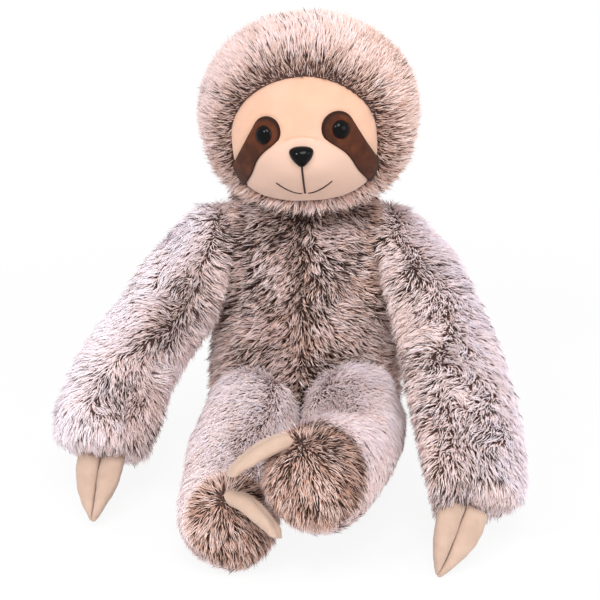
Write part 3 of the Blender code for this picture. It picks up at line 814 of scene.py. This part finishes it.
def make_leg(word):
    """A leg: full at the thigh, pressed against the torso, with a crease round the sole of its round foot."""
    side = sides[word]
    foot, foot_radius, _ = leg_sizes[word]
    path = leg_path(word)
    radii = (leg_root_radius, leg_root_radius, leg_middle_radius, foot_radius)
    loops = cage_rings(limb_rings(path, radii, 1), limb_sides)
    piece, points, normals = rounded_skin(word + "_leg_plush", loops)
    _, share, heading = along_path(points, path)
    cover = smooth_step(torso_share(points), 0.90, 0.96)
    if word == "right":
        cover = cover * free_of(points, ["left_leg"], -0.004)
    toward = (sole_poles[word], sole_middles[word])
    pole, middle = (np.array(foot + way.normalized() * foot_radius * sole_sink_share) for way in toward)
    away = np.linalg.norm(points - middle, axis=1)
    crease = np.exp(-(((away - sole_radii[word] + 0.003) / 0.006) ** 2)) * (share > 0.62)
    above = points[:, 0] + 0.6 * points[:, 2] - middle[0] - 0.6 * middle[2]
    crease *= smooth_step(above, -0.01, 0.02) if word == "left" else 0.1
    dent = swirl(points, 0.05, 9 + side)[:, 0] * 0.003
    root = 1 - smooth_step(share, 0.10, 0.55)
    full = root * smooth_step(normals[:, 2] - 0.7 * side * normals[:, 0], -0.1, 0.6) * thigh_full_share[word]
    depth = pile_depth * (0.30 + 0.60 * smooth_step(share, 0.35, 0.85)) * np.maximum(1 - full, 0)
    depth = depth - thigh_fullness * full + crease * 0.004
    if word == "right":
        facing = normals @ unit(np.array([heel_side]))[0]
        depth -= heel_fullness * smooth_step(facing, 0.3, 0.95) * (share > 0.7)
    points = points - normals * (depth * np.maximum(cover, 0.1) + dent * 0.7)[:, None]
    within = torso_share(points) - contact_gap / torso_half_depth
    points[:, :2] *= np.maximum(1 / np.maximum(within, 0.05), 1)[:, None]
    points[:, 2] = np.maximum(points[:, 2], leg_floor)
    move_to(piece.data, points)

    # The pile runs outwards along the leg, and round the sole it parts from one pole
    on_sole = smooth_step(sole_radii[word] - away, -0.006, 0.006)
    leg_comb = heading * 0.5 + normals * np.array((0.25, 0, 0)) + np.array((0.55 * side, -0.35, -0.5))
    sole_comb = unit(points - pole) * 1.2 + np.array((0.1, 0, -0.4))
    comb = leg_comb * (1 - on_sole)[:, None] + sole_comb * on_sole[:, None]
    comb += ruffled(points, 0.04, 12 + side) * 0.55
    cover = cover * (points[:, 2] > pile_floor)
    # Painted light: the pile is tinted paler and less flecked where the leg faces up and forward, most of all
    # on the thigh
    top = smooth_step(normals[:, 2] - 0.4 * normals[:, 1], -0.3, 0.8)
    lift = 0.28 + 0.18 * on_sole
    # Painted shade: the crease round the sole is tinted darker and given more dark flecks, mostly on the left
    # foot's upper side
    shade = 0.74 + 0.10 * top + 0.04 * root * top - sole_shades[word] * on_sole - 0.30 * crease
    fleck = flecked(points, 0.0, 0.10, 56 + side) * (1 - top)
    fleck += flecked(points, 0.08, 0.38, 58 + side) * on_sole * sole_flecks[word]
    fleck += 0.50 * crease
    gather = 0.35 + 0.65 * on_sole
    set_pile(piece, comb, lift=lift, cover=cover, shade=shade, fleck=fleck, reach=0.85, gather=gather)
    return piece


# The face


def face_matrix():
    turns = ((face_turn, "Z"), (face_nod, "X"), (face_tilt, "Y"))
    first, second, third = (Matrix.Rotation(angle, 4, axis) for angle, axis in turns)
    return Matrix.Translation(head_centre - Vector((0, 0, face_drop))) @ (first @ second @ third)


face_place = face_matrix()


def face_out(x, z):
    """How far the face stands out of the head's middle: a round front and a soft muzzle."""
    round_share = 1 - (x / face_round_half_width) ** 2 - (z / face_round_half_height) ** 2
    front = face_round_depth * math.sqrt(max(round_share, 0.02))
    away = (x / muzzle_half_width) ** 2 + ((z + muzzle_down) / muzzle_half_height) ** 2
    return front + muzzle_fullness * math.exp(-away)


def face_normal(x, z):
    step = 0.0006
    across = (face_out(x + step, z) - face_out(x - step, z)) / (2 * step)
    up = (face_out(x, z + step) - face_out(x, z - step)) / (2 * step)
    return Vector((-across, -1, -up)).normalized()


def on_face(x, z, out=0.0):
    return Vector((x, -face_out(x, z), z)) + face_normal(x, z) * out


def face_edge(angle):
    """The face's outline at an angle: a round brow above, a broader and flatter jaw below."""
    rise, reach = math.sin(angle), math.cos(angle)
    tall, up_power, side_power = face_top, 1, 1
    if rise <= 0:
        tall, up_power, side_power = face_bottom, jaw_up_power, jaw_side_power
    wide = math.copysign(abs(reach) ** side_power, reach)
    return Vector((face_half_width * wide, tall * math.copysign(abs(rise) ** up_power, rise)))


edge_points = [face_edge(angle) for angle in full_turn(720)]
edge_angles = np.array([math.atan2(p.y, p.x) for p in edge_points])
edge_order = np.argsort(edge_angles)
edge_reaches = np.array([p.length for p in edge_points])[edge_order]
edge_angles = edge_angles[edge_order]


def edge_reach(angle):
    return np.interp(angle, edge_angles, edge_reaches, period=2 * math.pi)


def patch_end(word):
    return Vector((sides[word] * patch_tail.x, patch_tail.y))


def patch_gap(x, z, word):
    """How far x, z lies outside the eye patch on that side, below 0 within it."""
    head = patch_heads[word]
    line = patch_end(word) - head
    end = 1 + patch_tail_overrun / line.length
    share = max(0.0, min(end, (Vector((x, z)) - head).dot(line) / line.dot(line)))
    radius = patch_head_radii[word] + (patch_tail_radius - patch_head_radii[word]) * min(share, 1)
    away = Vector((x, z)) - head - line * share
    inward = away.dot(Vector((line.y, -line.x))) * sides[word] > 0
    hollow = patch_hollow * math.sin(math.pi * min(share, 1)) ** 1.5 if inward else 0
    return away.length - radius + hollow


def seam_rise(x, z):
    """How far x, z lies above the seam over the nose."""
    return z - brow_top + brow_droop * (x / brow_half_width) ** 2


def seam_share(x, z):
    """1 on the muzzle and 0 on the forehead, with a soft step at the seam."""
    return float(smooth_step(-seam_rise(x, z), -0.0008, 0.0012))


def disc_points(count):
    """A grid of a unit disc whose cells keep an even size, as (share, angle) for each grid point."""
    rows = []
    for i in range(count + 1):
        for j in range(count + 1):
            a, b = 2 * i / count - 1, 2 * j / count - 1
            if a == 0 and b == 0:
                rows.append((0.0, 0.0))
            elif abs(a) > abs(b):
                rows.append((abs(a), math.pi / 4 * b / a + (math.pi if a < 0 else 0)))
            else:
                rows.append((abs(b), math.pi / 2 - math.pi / 4 * a / b + (math.pi if b < 0 else 0)))
    return rows


def disc_sheet(name, count, place):
    """A sheet over that disc: place gives each point's position from its share and angle."""
    shape = bmesh.new()
    verts = [shape.verts.new(place(share, angle)) for share, angle in disc_points(count)]
    for i in range(count):
        for j in range(count):
            corner = i * (count + 1) + j
            quad = (corner, corner + 1, corner + count + 2, corner + count + 1)
            shape.faces.new([verts[k] for k in quad])
    mesh = mesh_of(name, shape)
    if sum(poly.normal.y * poly.area for poly in mesh.polygons) > 0:
        mesh.flip_normals()
    return mesh


def make_face_cloth():
    """The cream cloth of the face: full at the brow, cheeks and muzzle, pulled in along its seams."""
    tones = []

    def place(share, angle):
        edge = face_edge(angle) * face_edge_share
        x, z = edge.x * share, edge.y * share
        tones.append(seam_share(x, z))
        rise = seam_rise(x, z) / seam_groove_half_width
        fade = math.exp(-((x / brow_half_width / 1.25) ** 8))
        groove = seam_groove * fade * (math.exp(-(rise**2)) - 0.9 * math.exp(-(((rise + 2.6) / 2.2) ** 2)))
        for word in sides:
            gap = max(patch_gap(x, z, word), 0) / patch_groove_width
            groove = max(groove, seam_groove * math.exp(-(gap**2)))
        soft = 0.0006 * noise.noise(Vector((x, z, 0)) / 0.02)
        return on_face(x, z, soft - groove - rim_drop * share**24)

    piece = new_piece("face_cloth", disc_sheet("face_cloth", 130, place), cream_cloth)
    note(piece.data, "muzzle", tones)
    piece.data.transform(face_place)
    return walled(piece, cloth_wall)


def make_patch(word):
    """A suede patch round an eye, with its edge tucked into the seam."""
    middle = patch_heads[word].lerp(patch_end(word), 0.45)

    def inside(point):
        angle = math.atan2(point.y, point.x)
        return patch_gap(point.x, point.y, word) < 0 and point.length < edge_reach(angle) * 0.99

    def reach_at(angle):
        low, high = 0.0, 0.08
        spoke = Vector((math.cos(angle), math.sin(angle)))
        for _ in range(24):
            half = (low + high) / 2
            low, high = (half, high) if inside(middle + spoke * half) else (low, half)
        return low

    shares = []

    def place(share, angle):
        point = middle + Vector((math.cos(angle), math.sin(angle))) * reach_at(angle) * share
        shares.append(share)
        return on_face(point.x, point.y, patch_rise - patch_edge_drop * share**14)

    name = word + "_patch_suede"
    piece = new_piece(name, disc_sheet(name, 56, place), brown_suede)
    note(piece.data, "rim", shares)
    piece.data.transform(face_place)
    return walled(piece, suede_wall)


def dome(name, material, place, rings, segments, outline, height):
    """A polished dome on a flat back: outline gives its half sizes at an angle."""
    angles = full_turn(segments)
    loops = [[outline(a) * 0.985 + Vector((0, 0, -button_back)) for a in angles]]
    rims = [1.0] * segments
    for level in range(rings):
        lean = math.pi / 2 * level / rings
        rise, shrink = height * math.sin(lean), math.cos(lean)
        loops.append([outline(a) * shrink + Vector((0, 0, rise)) for a in angles])
        rims += [shrink] * segments
    shape = bmesh.new()
    rows = ring_faces(shape, loops)
    crown = shape.verts.new((0, 0, height))
    for k in range(segments):
        shape.faces.new((rows[-1][k], rows[-1][(k + 1) % segments], crown))
    mesh = mesh_of(name, shape)
    note(mesh, "rim", rims + [0.0])
    mesh.transform(place)
    return new_piece(name, mesh, material)


def button_place(x, z, sink):
    turn = frame_along(face_normal(x, z), Vector((1, 0, 0))).to_4x4()
    return face_place @ Matrix.Translation(on_face(x, z, -sink)) @ turn


def make_eye(word):
    def outline(angle):
        return Vector((math.cos(angle), math.sin(angle), 0)) * eye_radius

    place = button_place(sides[word] * eye_outs[word], eye_ups[word], eye_sink)
    return dome(word + "_glass_eye", eye_plastic, place, 12, 40, outline, eye_height)


def make_nose():
    def outline(angle):
        across, up = math.cos(angle), math.sin(angle)
        broad = 0.80 + 0.42 * up
        x = math.copysign(abs(across) ** 0.9, across) * nose_half_width * broad
        return Vector((x, math.copysign(abs(up) ** 0.92, up) * nose_half_height, 0))

    place = button_place(0, nose_up, nose_sink)
    return dome("nose_button", nose_plastic, place, 14, 48, outline, nose_height)


def make_stitch(name, spots, radius):
    """A round thread over points of the face, with closed ends and the swell of its twist."""
    path = [face_place @ on_face(x, z, thread_rise) for x, z in spots]
    last = len(path) - 1
    loops = []
    for i, point in enumerate(path):
        tangent = (path[min(i + 1, last)] - path[max(i - 1, 0)]).normalized()
        turn = frame_along(tangent, Vector((0, 1, 0)) if abs(tangent.y) < 0.9 else Vector((1, 0, 0)))
        size = radius * (1 + 0.12 * math.sin(i * 1.7)) * (0.5 if i in (0, last) else 1)
        spokes = [Vector((math.cos(a), math.sin(a), 0)) for a in full_turn(thread_sides)]
        loops.append([point + turn @ spoke * size for spoke in spokes])
    return new_piece(name, lofted(name, loops), mouth_thread)


def make_mouth():
    """The stitched mouth: a line under the nose, and a curve to either side of its foot."""
    line = [(0, mouth_top + (mouth_foot - mouth_top) * k / 40) for k in range(41)]
    made = [make_stitch("mouth_line_stitch", line, line_thread_radius)]
    shares = [k / 48 for k in range(49)]
    heights = [mouth_foot + smile_lift + smile_rise * share**1.8 for share in shares]
    for word, side in sides.items():
        curve = [(side * (smile_start + smile_width * share), z) for share, z in zip(shares, heights)]
        made.append(make_stitch(word + "_smile_stitch", curve, smile_thread_radius))
    return made


# The head


def head_loops():
    """Rings round an upright ball, from just above its lower pole to just below its upper one."""
    loops = []
    for level in range(head_rings):
        up = math.pi * ((level + 0.1) / (head_rings - 0.8) - 0.5)
        spokes = [
            Vector((math.cos(up) * math.cos(a), math.cos(up) * math.sin(a), math.sin(up)))
            for a in full_turn(head_segments)
        ]
        loops.append([head_centre + spoke * head_half_sizes for spoke in spokes])
    return loops


def make_head():
    """The head: sunk behind the face, full at the cheeks, with a roll of a chin under the face."""
    piece = new_piece("head_plush", lofted("head_plush", head_loops()), pile_backing)
    points, normals = places(piece.data), outward(piece.data)
    to_face = face_place.inverted()
    local = points @ np.array(to_face.to_3x3()).T + np.array(to_face.translation)
    outside = np.hypot(local[:, 0], local[:, 2]) - edge_reach(np.arctan2(local[:, 2], local[:, 0]))
    outside = np.where(local[:, 1] < 0, outside, 0.2)
    dent = swirl(points, 0.06, 20)[:, 0] * 0.0025
    cheek = smooth_step(-local[:, 2], 0.010, 0.045) * smooth_step(np.abs(local[:, 0]), 0.050, 0.080)
    sunk = pile_depth * 0.72 + 0.006 * smooth_step(-outside, 0.0, 0.006) - cheek_fullness * cheek + dent
    fuller = (1 - smooth_step(outside, 0.002, 0.030)) * smooth_step(outside, -0.004, 0.0)
    fuller *= smooth_step(-local[:, 2], 0.03, 0.06)
    rim_out = np.array([face_out(x, z) for x, _, z in local])
    forward = np.maximum(fuller * rim_out * 0.95 + local[:, 1], 0) * (local[:, 1] < 0)
    points = points - normals * sunk[:, None] - np.array(face_place.to_3x3().col[1]) * forward[:, None]
    points[:, 2] = np.maximum(points[:, 2], torso_height + torso_lid)
    move_to(piece.data, points)
    note_head_pile(piece, points, normals, outside)
    return piece


def note_head_pile(piece, points, normals, outside):
    """The pile stands out round the face and lies back over the head, short and dark at the face's edge."""
    radial = points - np.array(face_place.translation)
    radial[:, 1] *= 0.15
    back = smooth_step(points[:, 1] - head_centre.y, -0.01, 0.07)[:, None]
    near = 1 - smooth_step(outside, 0.0, 0.034)
    comb = unit(radial) * (1 - 0.9 * back) + np.array((0, 0.25, -1.0)) * back * 0.9
    comb = comb + np.array((0, 0.8, 0)) * (1 - near)[:, None]
    comb = comb + ruffled(points, 0.04, 21) * (0.45 - 0.25 * near)[:, None]
    below = smooth_step(-normals[:, 2], 0.2, 0.9)
    chin = smooth_step(-(points[:, 2] - head_centre.z), 0.035, 0.065) * near
    lift = 0.33 + 0.34 * near - 0.18 * chin
    # Painted shade: the tint is darker and more flecked on the underside of the head
    shade = 0.68 - 0.24 * near**1.5 - 0.10 * below + 0.18 * chin
    # Painted shade: the tint is darker on the sloth's left side of the head, away from the key lamp, and on
    # its top, under the top lamp
    shade -= 0.20 * smooth_step(points[:, 0], 0.02, 0.09) + 0.07 * smooth_step(normals[:, 2], 0.5, 0.9)
    fleck = flecked(points, 0.0, 0.08, 60) + 0.24 * near**1.5 * (1 - 0.8 * chin) + 0.06 * below
    reach = 0.60 + 0.40 * smooth_step(outside, 0.0, 0.020) + 0.50 * chin
    cover = np.clip(0.5 + (outside + 0.0012) / 0.006, 0, 1) * (points[:, 2] > torso_height + 0.003)
    gather = 0.6 + 0.4 * near
    set_pile(piece, comb, lift=lift, cover=cover, shade=shade, fleck=fleck, reach=reach, gather=gather)


# The pile


def make_pile_tree():
    """Grows bent, pointed locks over a skin, combed along its noted direction and drawn into clumps."""
    tree = bpy.data.node_groups.new("combed_pile", "GeometryNodeTree")
    sizes = (
        ("Skin", "Geometry"),
        ("Locks per area", "Float"),
        ("Lock length", "Float"),
        ("Half width share", "Float"),
        ("Bow share", "Float"),
        ("Clump spacing", "Float"),
        ("Clump pull", "Float"),
        ("Disorder", "Float"),
        ("Tint shift", "Float"),
        ("Fleck share", "Float"),
        ("Floor", "Float"),
        ("Seed", "Int"),
        ("Finish", "Material"),
    )
    for name, kind in sizes:
        tree.interface.new_socket(name=name, in_out="INPUT", socket_type="NodeSocket" + kind)
    tree.interface.new_socket(name="Pile", in_out="OUTPUT", socket_type="NodeSocketGeometry")
    made = Nodes(tree)
    entry = tree.nodes.new("NodeGroupInput")
    given = {name: Port(made, entry.outputs[name]) for name, _ in sizes}

    def noted(name, kind="FLOAT"):
        return made.node("GeometryNodeInputNamedAttribute", {"data_type": kind}, {"Name": name})

    def stored(geometry, name, value, kind, domain):
        settings = {"data_type": kind, "domain": domain}
        given_to = {"Geometry": geometry, "Name": name, "Value": value}
        return made.node("GeometryNodeStoreNamedAttribute", settings, given_to)

    def random(low, high, seed):
        return made.node("FunctionNodeRandomValue", {"data_type": "FLOAT"}, {2: low, 3: high, 8: seed}, 1)

    position = made.node("GeometryNodeInputPosition")
    length = given["Lock length"]

    def direction(normal):
        comb = noted("comb", "FLOAT_VECTOR")
        level = made.vector("SUBTRACT", comb, made.scaled(normal, made.dot(comb, normal)))
        level = made.vector("NORMALIZE", level)
        lift = noted("lift")
        steep = made.vector("ADD", made.scaled(level, 1 - lift), made.scaled(normal, lift))
        return made.vector("NORMALIZE", steep)

    # Where the clumps' tips meet
    spacing = given["Clump spacing"]
    most = 2.5 / (spacing * spacing)
    clumps = made.node(
        "GeometryNodeDistributePointsOnFaces",
        {"distribute_method": "POISSON"},
        {"Mesh": given["Skin"], "Distance Min": spacing, "Density Max": most, "Seed": given["Seed"]},
    )
    clump_normal = Port(made, clumps.socket.node.outputs["Normal"])
    meeting = made.vector("ADD", position, made.scaled(direction(clump_normal), length * 0.85))

    # The locks' roots
    spread = made.node(
        "GeometryNodeDistributePointsOnFaces",
        {"distribute_method": "RANDOM"},
        {"Mesh": given["Skin"], "Density": given["Locks per area"], "Seed": given["Seed"] + 7},
    )
    normal = Port(made, spread.socket.node.outputs["Normal"])
    bare = made.maths("LESS_THAN", noted("cover"), 0.5)
    spots = {"Geometry": spread, "Selection": bare}
    roots = made.node("GeometryNodeDeleteGeometry", {"domain": "POINT"}, spots)
    roots = stored(roots, "upright", normal, "FLOAT_VECTOR", "POINT")
    nearest = made.node("GeometryNodeSampleNearest", {"domain": "POINT"}, {"Geometry": clumps})

    def of_clump(value, kind):
        settings = {"data_type": kind, "domain": "POINT"}
        source = {"Geometry": clumps, "Value": value, "Index": nearest}
        return made.node("GeometryNodeSampleIndex", settings, source)

    target = of_clump(meeting, "FLOAT_VECTOR")
    clump_luck = of_clump(random(0.0, 1.0, 3), "FLOAT")
    box = {0: (-1, -1, -1), 1: (1, 1, 1), 8: 11}
    stray = made.node("FunctionNodeRandomValue", {"data_type": "FLOAT_VECTOR"}, box)
    free = made.vector("ADD", direction(normal), made.scaled(stray, given["Disorder"]))
    drawn = made.scaled(made.vector("SUBTRACT", target, position), 1 / length)
    pull = given["Clump pull"] * noted("gather")
    mixed = made.node("ShaderNodeMix", {"data_type": "VECTOR"}, {0: pull, 4: free, 5: drawn}, 1)
    heading = made.vector("NORMALIZE", mixed)
    turn = made.node(
        "FunctionNodeAxesToRotation",
        {"primary_axis": "Z", "secondary_axis": "Y"},
        {"Primary Axis": heading, "Secondary Axis": normal},
    )
    size = length * noted("reach") * random(0.72, 1.08, 17) * (0.86 + clump_luck * 0.22)
    # Pale plush is even, and dark plush is streaked
    spread_out = 1.75 - noted("shade") * 1.4
    luck = random(-0.16, 0.16, 23) + (clump_luck - 0.5) * 0.26
    tint = noted("shade") + given["Tint shift"] + luck * spread_out
    tint = made.maths("MINIMUM", made.maths("MAXIMUM", tint, 0.17), 0.99)
    dark = made.maths("LESS_THAN", random(0.0, 1.0, 29), noted("fleck") * given["Fleck share"])
    tint = tint * (1 - dark) + dark * random(0.0, 0.10, 31)

    # One lock, a unit long: three-sided, full to its middle, bowed, and pointed
    form = {"Vertices": 3, "Side Segments": 2, "Depth": 1.0}
    ends = {"Radius Top": 0.0, "Radius Bottom": given["Half width share"]}
    cone = made.node("GeometryNodeMeshCone", {"fill_type": "NGON"}, {**form, **ends})
    x, y, z = made.split(position)
    arch = z * (1 - z) * 4
    full = 1 + arch * 0.8
    bowed = made.joined(x * full, y * full + arch * given["Bow share"], z)
    lock = made.node("GeometryNodeSetPosition", None, {"Geometry": cone, "Position": bowed})
    lock = stored(lock, "along", z, "FLOAT", "POINT")
    where = {"Points": roots, "Instance": lock, "Rotation": turn, "Scale": size}
    grown = made.node("GeometryNodeInstanceOnPoints", None, where)
    grown = stored(grown, "tint", tint, "FLOAT", "INSTANCE")
    grown = stored(grown, "upright", noted("upright", "FLOAT_VECTOR"), "FLOAT_VECTOR", "INSTANCE")
    pile = made.node("GeometryNodeRealizeInstances", None, {"Geometry": grown})
    above = made.vector("MAXIMUM", position, made.joined(-10.0, -10.0, given["Floor"]))
    pile = made.node("GeometryNodeSetPosition", None, {"Geometry": pile, "Position": above})
    pile = stored(pile, "OFBake", made.joined(noted("tint"), noted("along"), 0.0), "FLOAT2", "CORNER")
    upright = noted("upright", "FLOAT_VECTOR")
    soft = made.vector("ADD", made.node("GeometryNodeInputNormal"), made.scaled(upright, 1.6))
    pile = made.node(
        "GeometryNodeSetMeshNormal",
        {"mode": "FREE", "domain": "POINT"},
        {"Mesh": pile, "Custom Normal": made.vector("NORMALIZE", soft)},
    )
    pile = made.node("GeometryNodeSetMaterial", None, {"Geometry": pile, "Material": given["Finish"]})
    leave = tree.nodes.new("NodeGroupOutput")
    made.feed(leave.inputs["Pile"], pile)
    identifiers = {item.name: item.identifier for item in tree.interface.items_tree if item.in_out == "INPUT"}
    return tree, identifiers


pile_tree, pile_inputs = make_pile_tree()


def covered_area(mesh):
    cover = kept(mesh, "cover")
    return sum(poly.area for poly in mesh.polygons if cover[poly.vertices[0]] > 0.5)


pile_notes = ("upright", "comb", "lift", "cover", "shade", "fleck", "reach", "gather", "tint", "along")
pile_layers = (
    # Word, share of locks, length, half width share, clump spacing, pull, disorder, tint shift, fleck share
    ("short", 0.32, 0.0120, 0.062, 0.006, 0.35, 0.35, -0.08, 0.7),
    ("long", 0.34, 0.0150, 0.035, 0.008, 0.58, 0.25, 0.02, 1.1),
    ("fine", 0.34, 0.0158, 0.025, 0.010, 0.50, 0.20, 0.08, 1.2),
)


def grow_pile(skin, locks, first_seed):
    """The skin's pile, one piece for each layer of it."""
    area = covered_area(skin.data)
    made = []
    for number, sizes in enumerate(pile_layers):
        layer, share, length, half_width, spacing, pull, disorder, shift, flecks = sizes
        piece = new_piece(skin.name.replace("plush", layer + "_pile"), skin.data.copy())
        step = piece.modifiers.new("pile", "NODES")
        step.node_group = pile_tree
        values = {
            "Locks per area": locks * share / area,
            "Lock length": length,
            "Half width share": half_width,
            "Bow share": 0.10,
            "Clump spacing": spacing,
            "Clump pull": pull,
            "Disorder": disorder,
            "Tint shift": shift,
            "Fleck share": flecks,
            "Floor": floor_clearance,
            "Seed": first_seed + 31 * number,
            "Finish": long_pile,
        }
        for name, value in values.items():
            step[pile_inputs[name]] = value
        settled(piece)
        for attribute in [a.name for a in piece.data.attributes if a.name in pile_notes]:
            piece.data.attributes.remove(piece.data.attributes[attribute])
        made.append(piece)
    return made


# The claws


def make_claw(name, place, side, form):
    """A stuffed claw: a flat curved form with a seam down each narrow side and small puckers beside it."""
    width_shares, root_along, tip_along, slim, bend = form
    count = 40
    loops = []
    for step in range(count + 1):
        share = 0.5 - 0.5 * math.cos(math.pi * step / count)
        along = root_along + (1.0 - root_along) * share
        wide = float(np.interp(along, claw_stations, width_shares))
        thick = float(np.interp(along, claw_stations, claw_thickness_shares))
        cap = math.sqrt(max(1 - max((along - 0.93) / 0.071, 0) ** 2, 0.02))
        root_cap = math.sqrt(max(1 - max((root_along + 0.08 - along) / 0.081, 0) ** 2, 0.02))
        half_width = claw_width / 2 * wide * 0.955 * slim
        half_thick = claw_half_thickness * thick * 0.95 * cap * root_cap
        drop = bend * max(along, 0) ** 2
        middle = side * (touch_gap / 2 + half_width)
        loop = []
        for angle in full_turn(28):
            across, up = math.cos(angle), math.sin(angle)
            ridge = 1 - 0.05 * math.exp(-((up / 0.16) ** 2))
            pucker = 1 + 0.035 * math.sin(along * 70 + (0.8 if across > 0 else 0)) * abs(across) ** 3
            x = middle + half_width * across * ridge
            y = -drop + half_thick * math.copysign(abs(up) ** 0.85, up) * pucker
            loop.append(Vector((x, y, claw_length * along * tip_along)))
        loops.append(loop)
    mesh = lofted(name, loops)
    points, normals = places(mesh), outward(mesh)
    wrinkle = swirl(points, 0.012, 31 + side)[:, 0] * 0.0009 + swirl(points, 0.004, 33 + side)[:, 1] * 0.00018
    move_to(mesh, points + normals * wrinkle[:, None])
    mesh.transform(place)
    return new_piece(name, mesh, claw_cloth)


def pointing(down, heading):
    level = math.cos(down)
    return Vector((level * math.sin(heading), -level * math.cos(heading), -math.sin(down)))


def hand_place(word, down, heading, roll, aside):
    path, radius = arm_path(word), arm_sizes[word][1][-1]
    along = (path[-1] - path[-2]).normalized()
    root = path[-1] + along * radius * arm_end_round_share * math.sin(end_leans[-1])
    across = Vector((math.cos(math.radians(roll)), 0, math.sin(math.radians(roll))))
    turn = frame_along(pointing(math.radians(down), math.radians(heading)), across)
    return Matrix.Translation(root + Vector((aside, 0, 0))) @ turn.to_4x4()


def foot_place(word, rise, aside, droop, swing, roll, sink):
    foot, radius, _ = leg_sizes[word]
    rise, aside, droop, swing, roll = (math.radians(a) for a in (rise, aside, droop, swing, roll))
    normal = pointing(-rise, aside)
    up = frame_along(normal, Vector((1, 0, 0)))
    level = math.sin(droop)
    away = up @ Vector((level * math.sin(swing), level * math.cos(swing), math.cos(droop)))
    across = Matrix.Rotation(roll, 3, away) @ normal.cross(away)
    return Matrix.Translation(foot + normal * (radius - sink)) @ frame_along(away, across).to_4x4()


claw_places = {
    "right_hand": hand_place("right", 34, -6, 6, 0.009),
    "left_hand": hand_place("left", 41, -28, -28, -0.006),
    "right_foot": foot_place("right", 61, 12, 70, 122, -50, 0.009),
    "left_foot": foot_place("left", 59, -74, 62.5, -112, 18, 0.011),
}


# Assembly

skins = {"torso": make_torso(), "head": make_head()}
for word in sides:
    skins[word + "_arm"] = make_arm(word)
for word in sides:
    skins[word + "_leg"] = make_leg(word)
lock_counts = {
    "torso": 42000,
    "head": 40000,
    "right_arm": 24000,
    "left_arm": 27000,
    "right_leg": 22000,
    "left_leg": 25000,
}

face = make_face_cloth()
patches = {word: make_patch(word) for word in sides}
eyes = {word: make_eye(word) for word in sides}
nose = make_nose()
line_stitch, right_stitch, left_stitch = make_mouth()

for number, (body, skin) in enumerate(skins.items()):
    pile = grow_pile(skin, lock_counts[body], 100 * (number + 1))
    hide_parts(body + "_skin", body + "_stuffing")
    for piece in (skin, *pile):
        if body.endswith("_leg"):
            out = sides[body.split("_")[0]] * hip_out
            start, end = (Vector((out, -forward, hip_height)) for forward in hip_blend)
            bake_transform(piece, "torso", body, start=start, end=end)
        else:
            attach(piece, body)

face_pieces = [
    (face, ("forehead_panel", "muzzle_panel"), "cream_short_pile"),
    (nose, ("nose", "nose_washer"), "black_gloss_plastic"),
    (line_stitch, ("mouth_line_thread",), "dark_thread"),
    (right_stitch, ("right_smile_thread",), "dark_thread"),
    (left_stitch, ("left_smile_thread",), "dark_thread"),
]
for word in sides:
    face_pieces.append((patches[word], (word + "_eye_patch",), "brown_suede"))
    face_pieces.append((eyes[word], (word + "_eye", word + "_eye_washer"), "black_gloss_plastic"))
for piece, nodes, slot in face_pieces:
    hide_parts(*nodes)
    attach(piece, "head")

for limb, place in claw_places.items():
    form = claw_forms[limb.split("_")[1]]
    for name, side in (("first", -1), ("second", 1)):
        claw = make_claw(f"{limb}_{name}_stuffed_claw", place, side, form)
        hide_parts(f"{limb}_{name}_claw")
        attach(claw, limb + "_claws")


# Studio


def plain_floor():
    """White where the camera sees it, so that it blends into the backdrop, and plain for light."""
    made = Finish("pale_floor", 0.9, specular=0.1)
    made.put("Base Color", (0.9, 0.9, 0.9, 1))
    seen = made.seen()
    glow = made.node("ShaderNodeEmission", None, {"Color": (1, 1, 1, 1), "Strength": 1.0})
    x, y, _ = made.split(made.coordinates())
    near = made.between(made.maths("SQRT", x * x + y * y), 0.35, 1.1)
    share = seen * (0.90 + near * 0.10)
    mixed = made.node("ShaderNodeMixShader", None, {0: share, 1: made.shader.outputs[0], 2: glow})
    made.feed(made.tree.nodes["Material Output"].inputs["Surface"], mixed)
    return made.material


def make_floor():
    shape = bmesh.new()
    bmesh.ops.create_grid(shape, x_segments=2, y_segments=2, size=6)
    return new_piece("floor", mesh_of("floor", shape), plain_floor())


make_floor()

world = bpy.data.worlds.new("studio")
world.use_nodes = True
bpy.context.scene.world = world
sky = Nodes(world.node_tree)
background = world.node_tree.nodes["Background"]
background.inputs["Color"].default_value = (1, 1, 1, 1)
sky.feed(background.inputs["Strength"], 0.58 + sky.seen() * 0.42)


def lamp(name, place, aim, size, power):
    light = bpy.data.lights.new(name, "AREA")
    light.shape = "DISK"
    light.size = size
    light.energy = power
    turn = (Vector(aim) - Vector(place)).to_track_quat("-Z", "Y").to_matrix().to_4x4()
    placed(name, light).matrix_world = Matrix.Translation(place) @ turn


lamp("key", (-0.9, -1.3, 1.5), (0, -0.05, 0.22), 0.4, 11)
lamp("fill", (1.3, -1.1, 0.9), (0, -0.05, 0.22), 1.0, 6)
lamp("top", (0.1, -1.8, 2.5), (0, -0.1, 0.15), 1.4, 43)

aim = Vector((0, math.cos(camera_tilt), -math.sin(camera_tilt)))
up = Vector((0, math.sin(camera_tilt), math.cos(camera_tilt)))
camera = placed("camera", bpy.data.cameras.new("camera"))
camera.data.sensor_width = sensor_width
camera.data.lens = camera_lens
view = Matrix((Vector((1, 0, 0)), up, -aim)).transposed().to_4x4()
view.translation = camera_place
camera.matrix_world = view
bpy.context.scene.camera = camera
bpy.context.scene.view_settings.view_transform = "Standard"
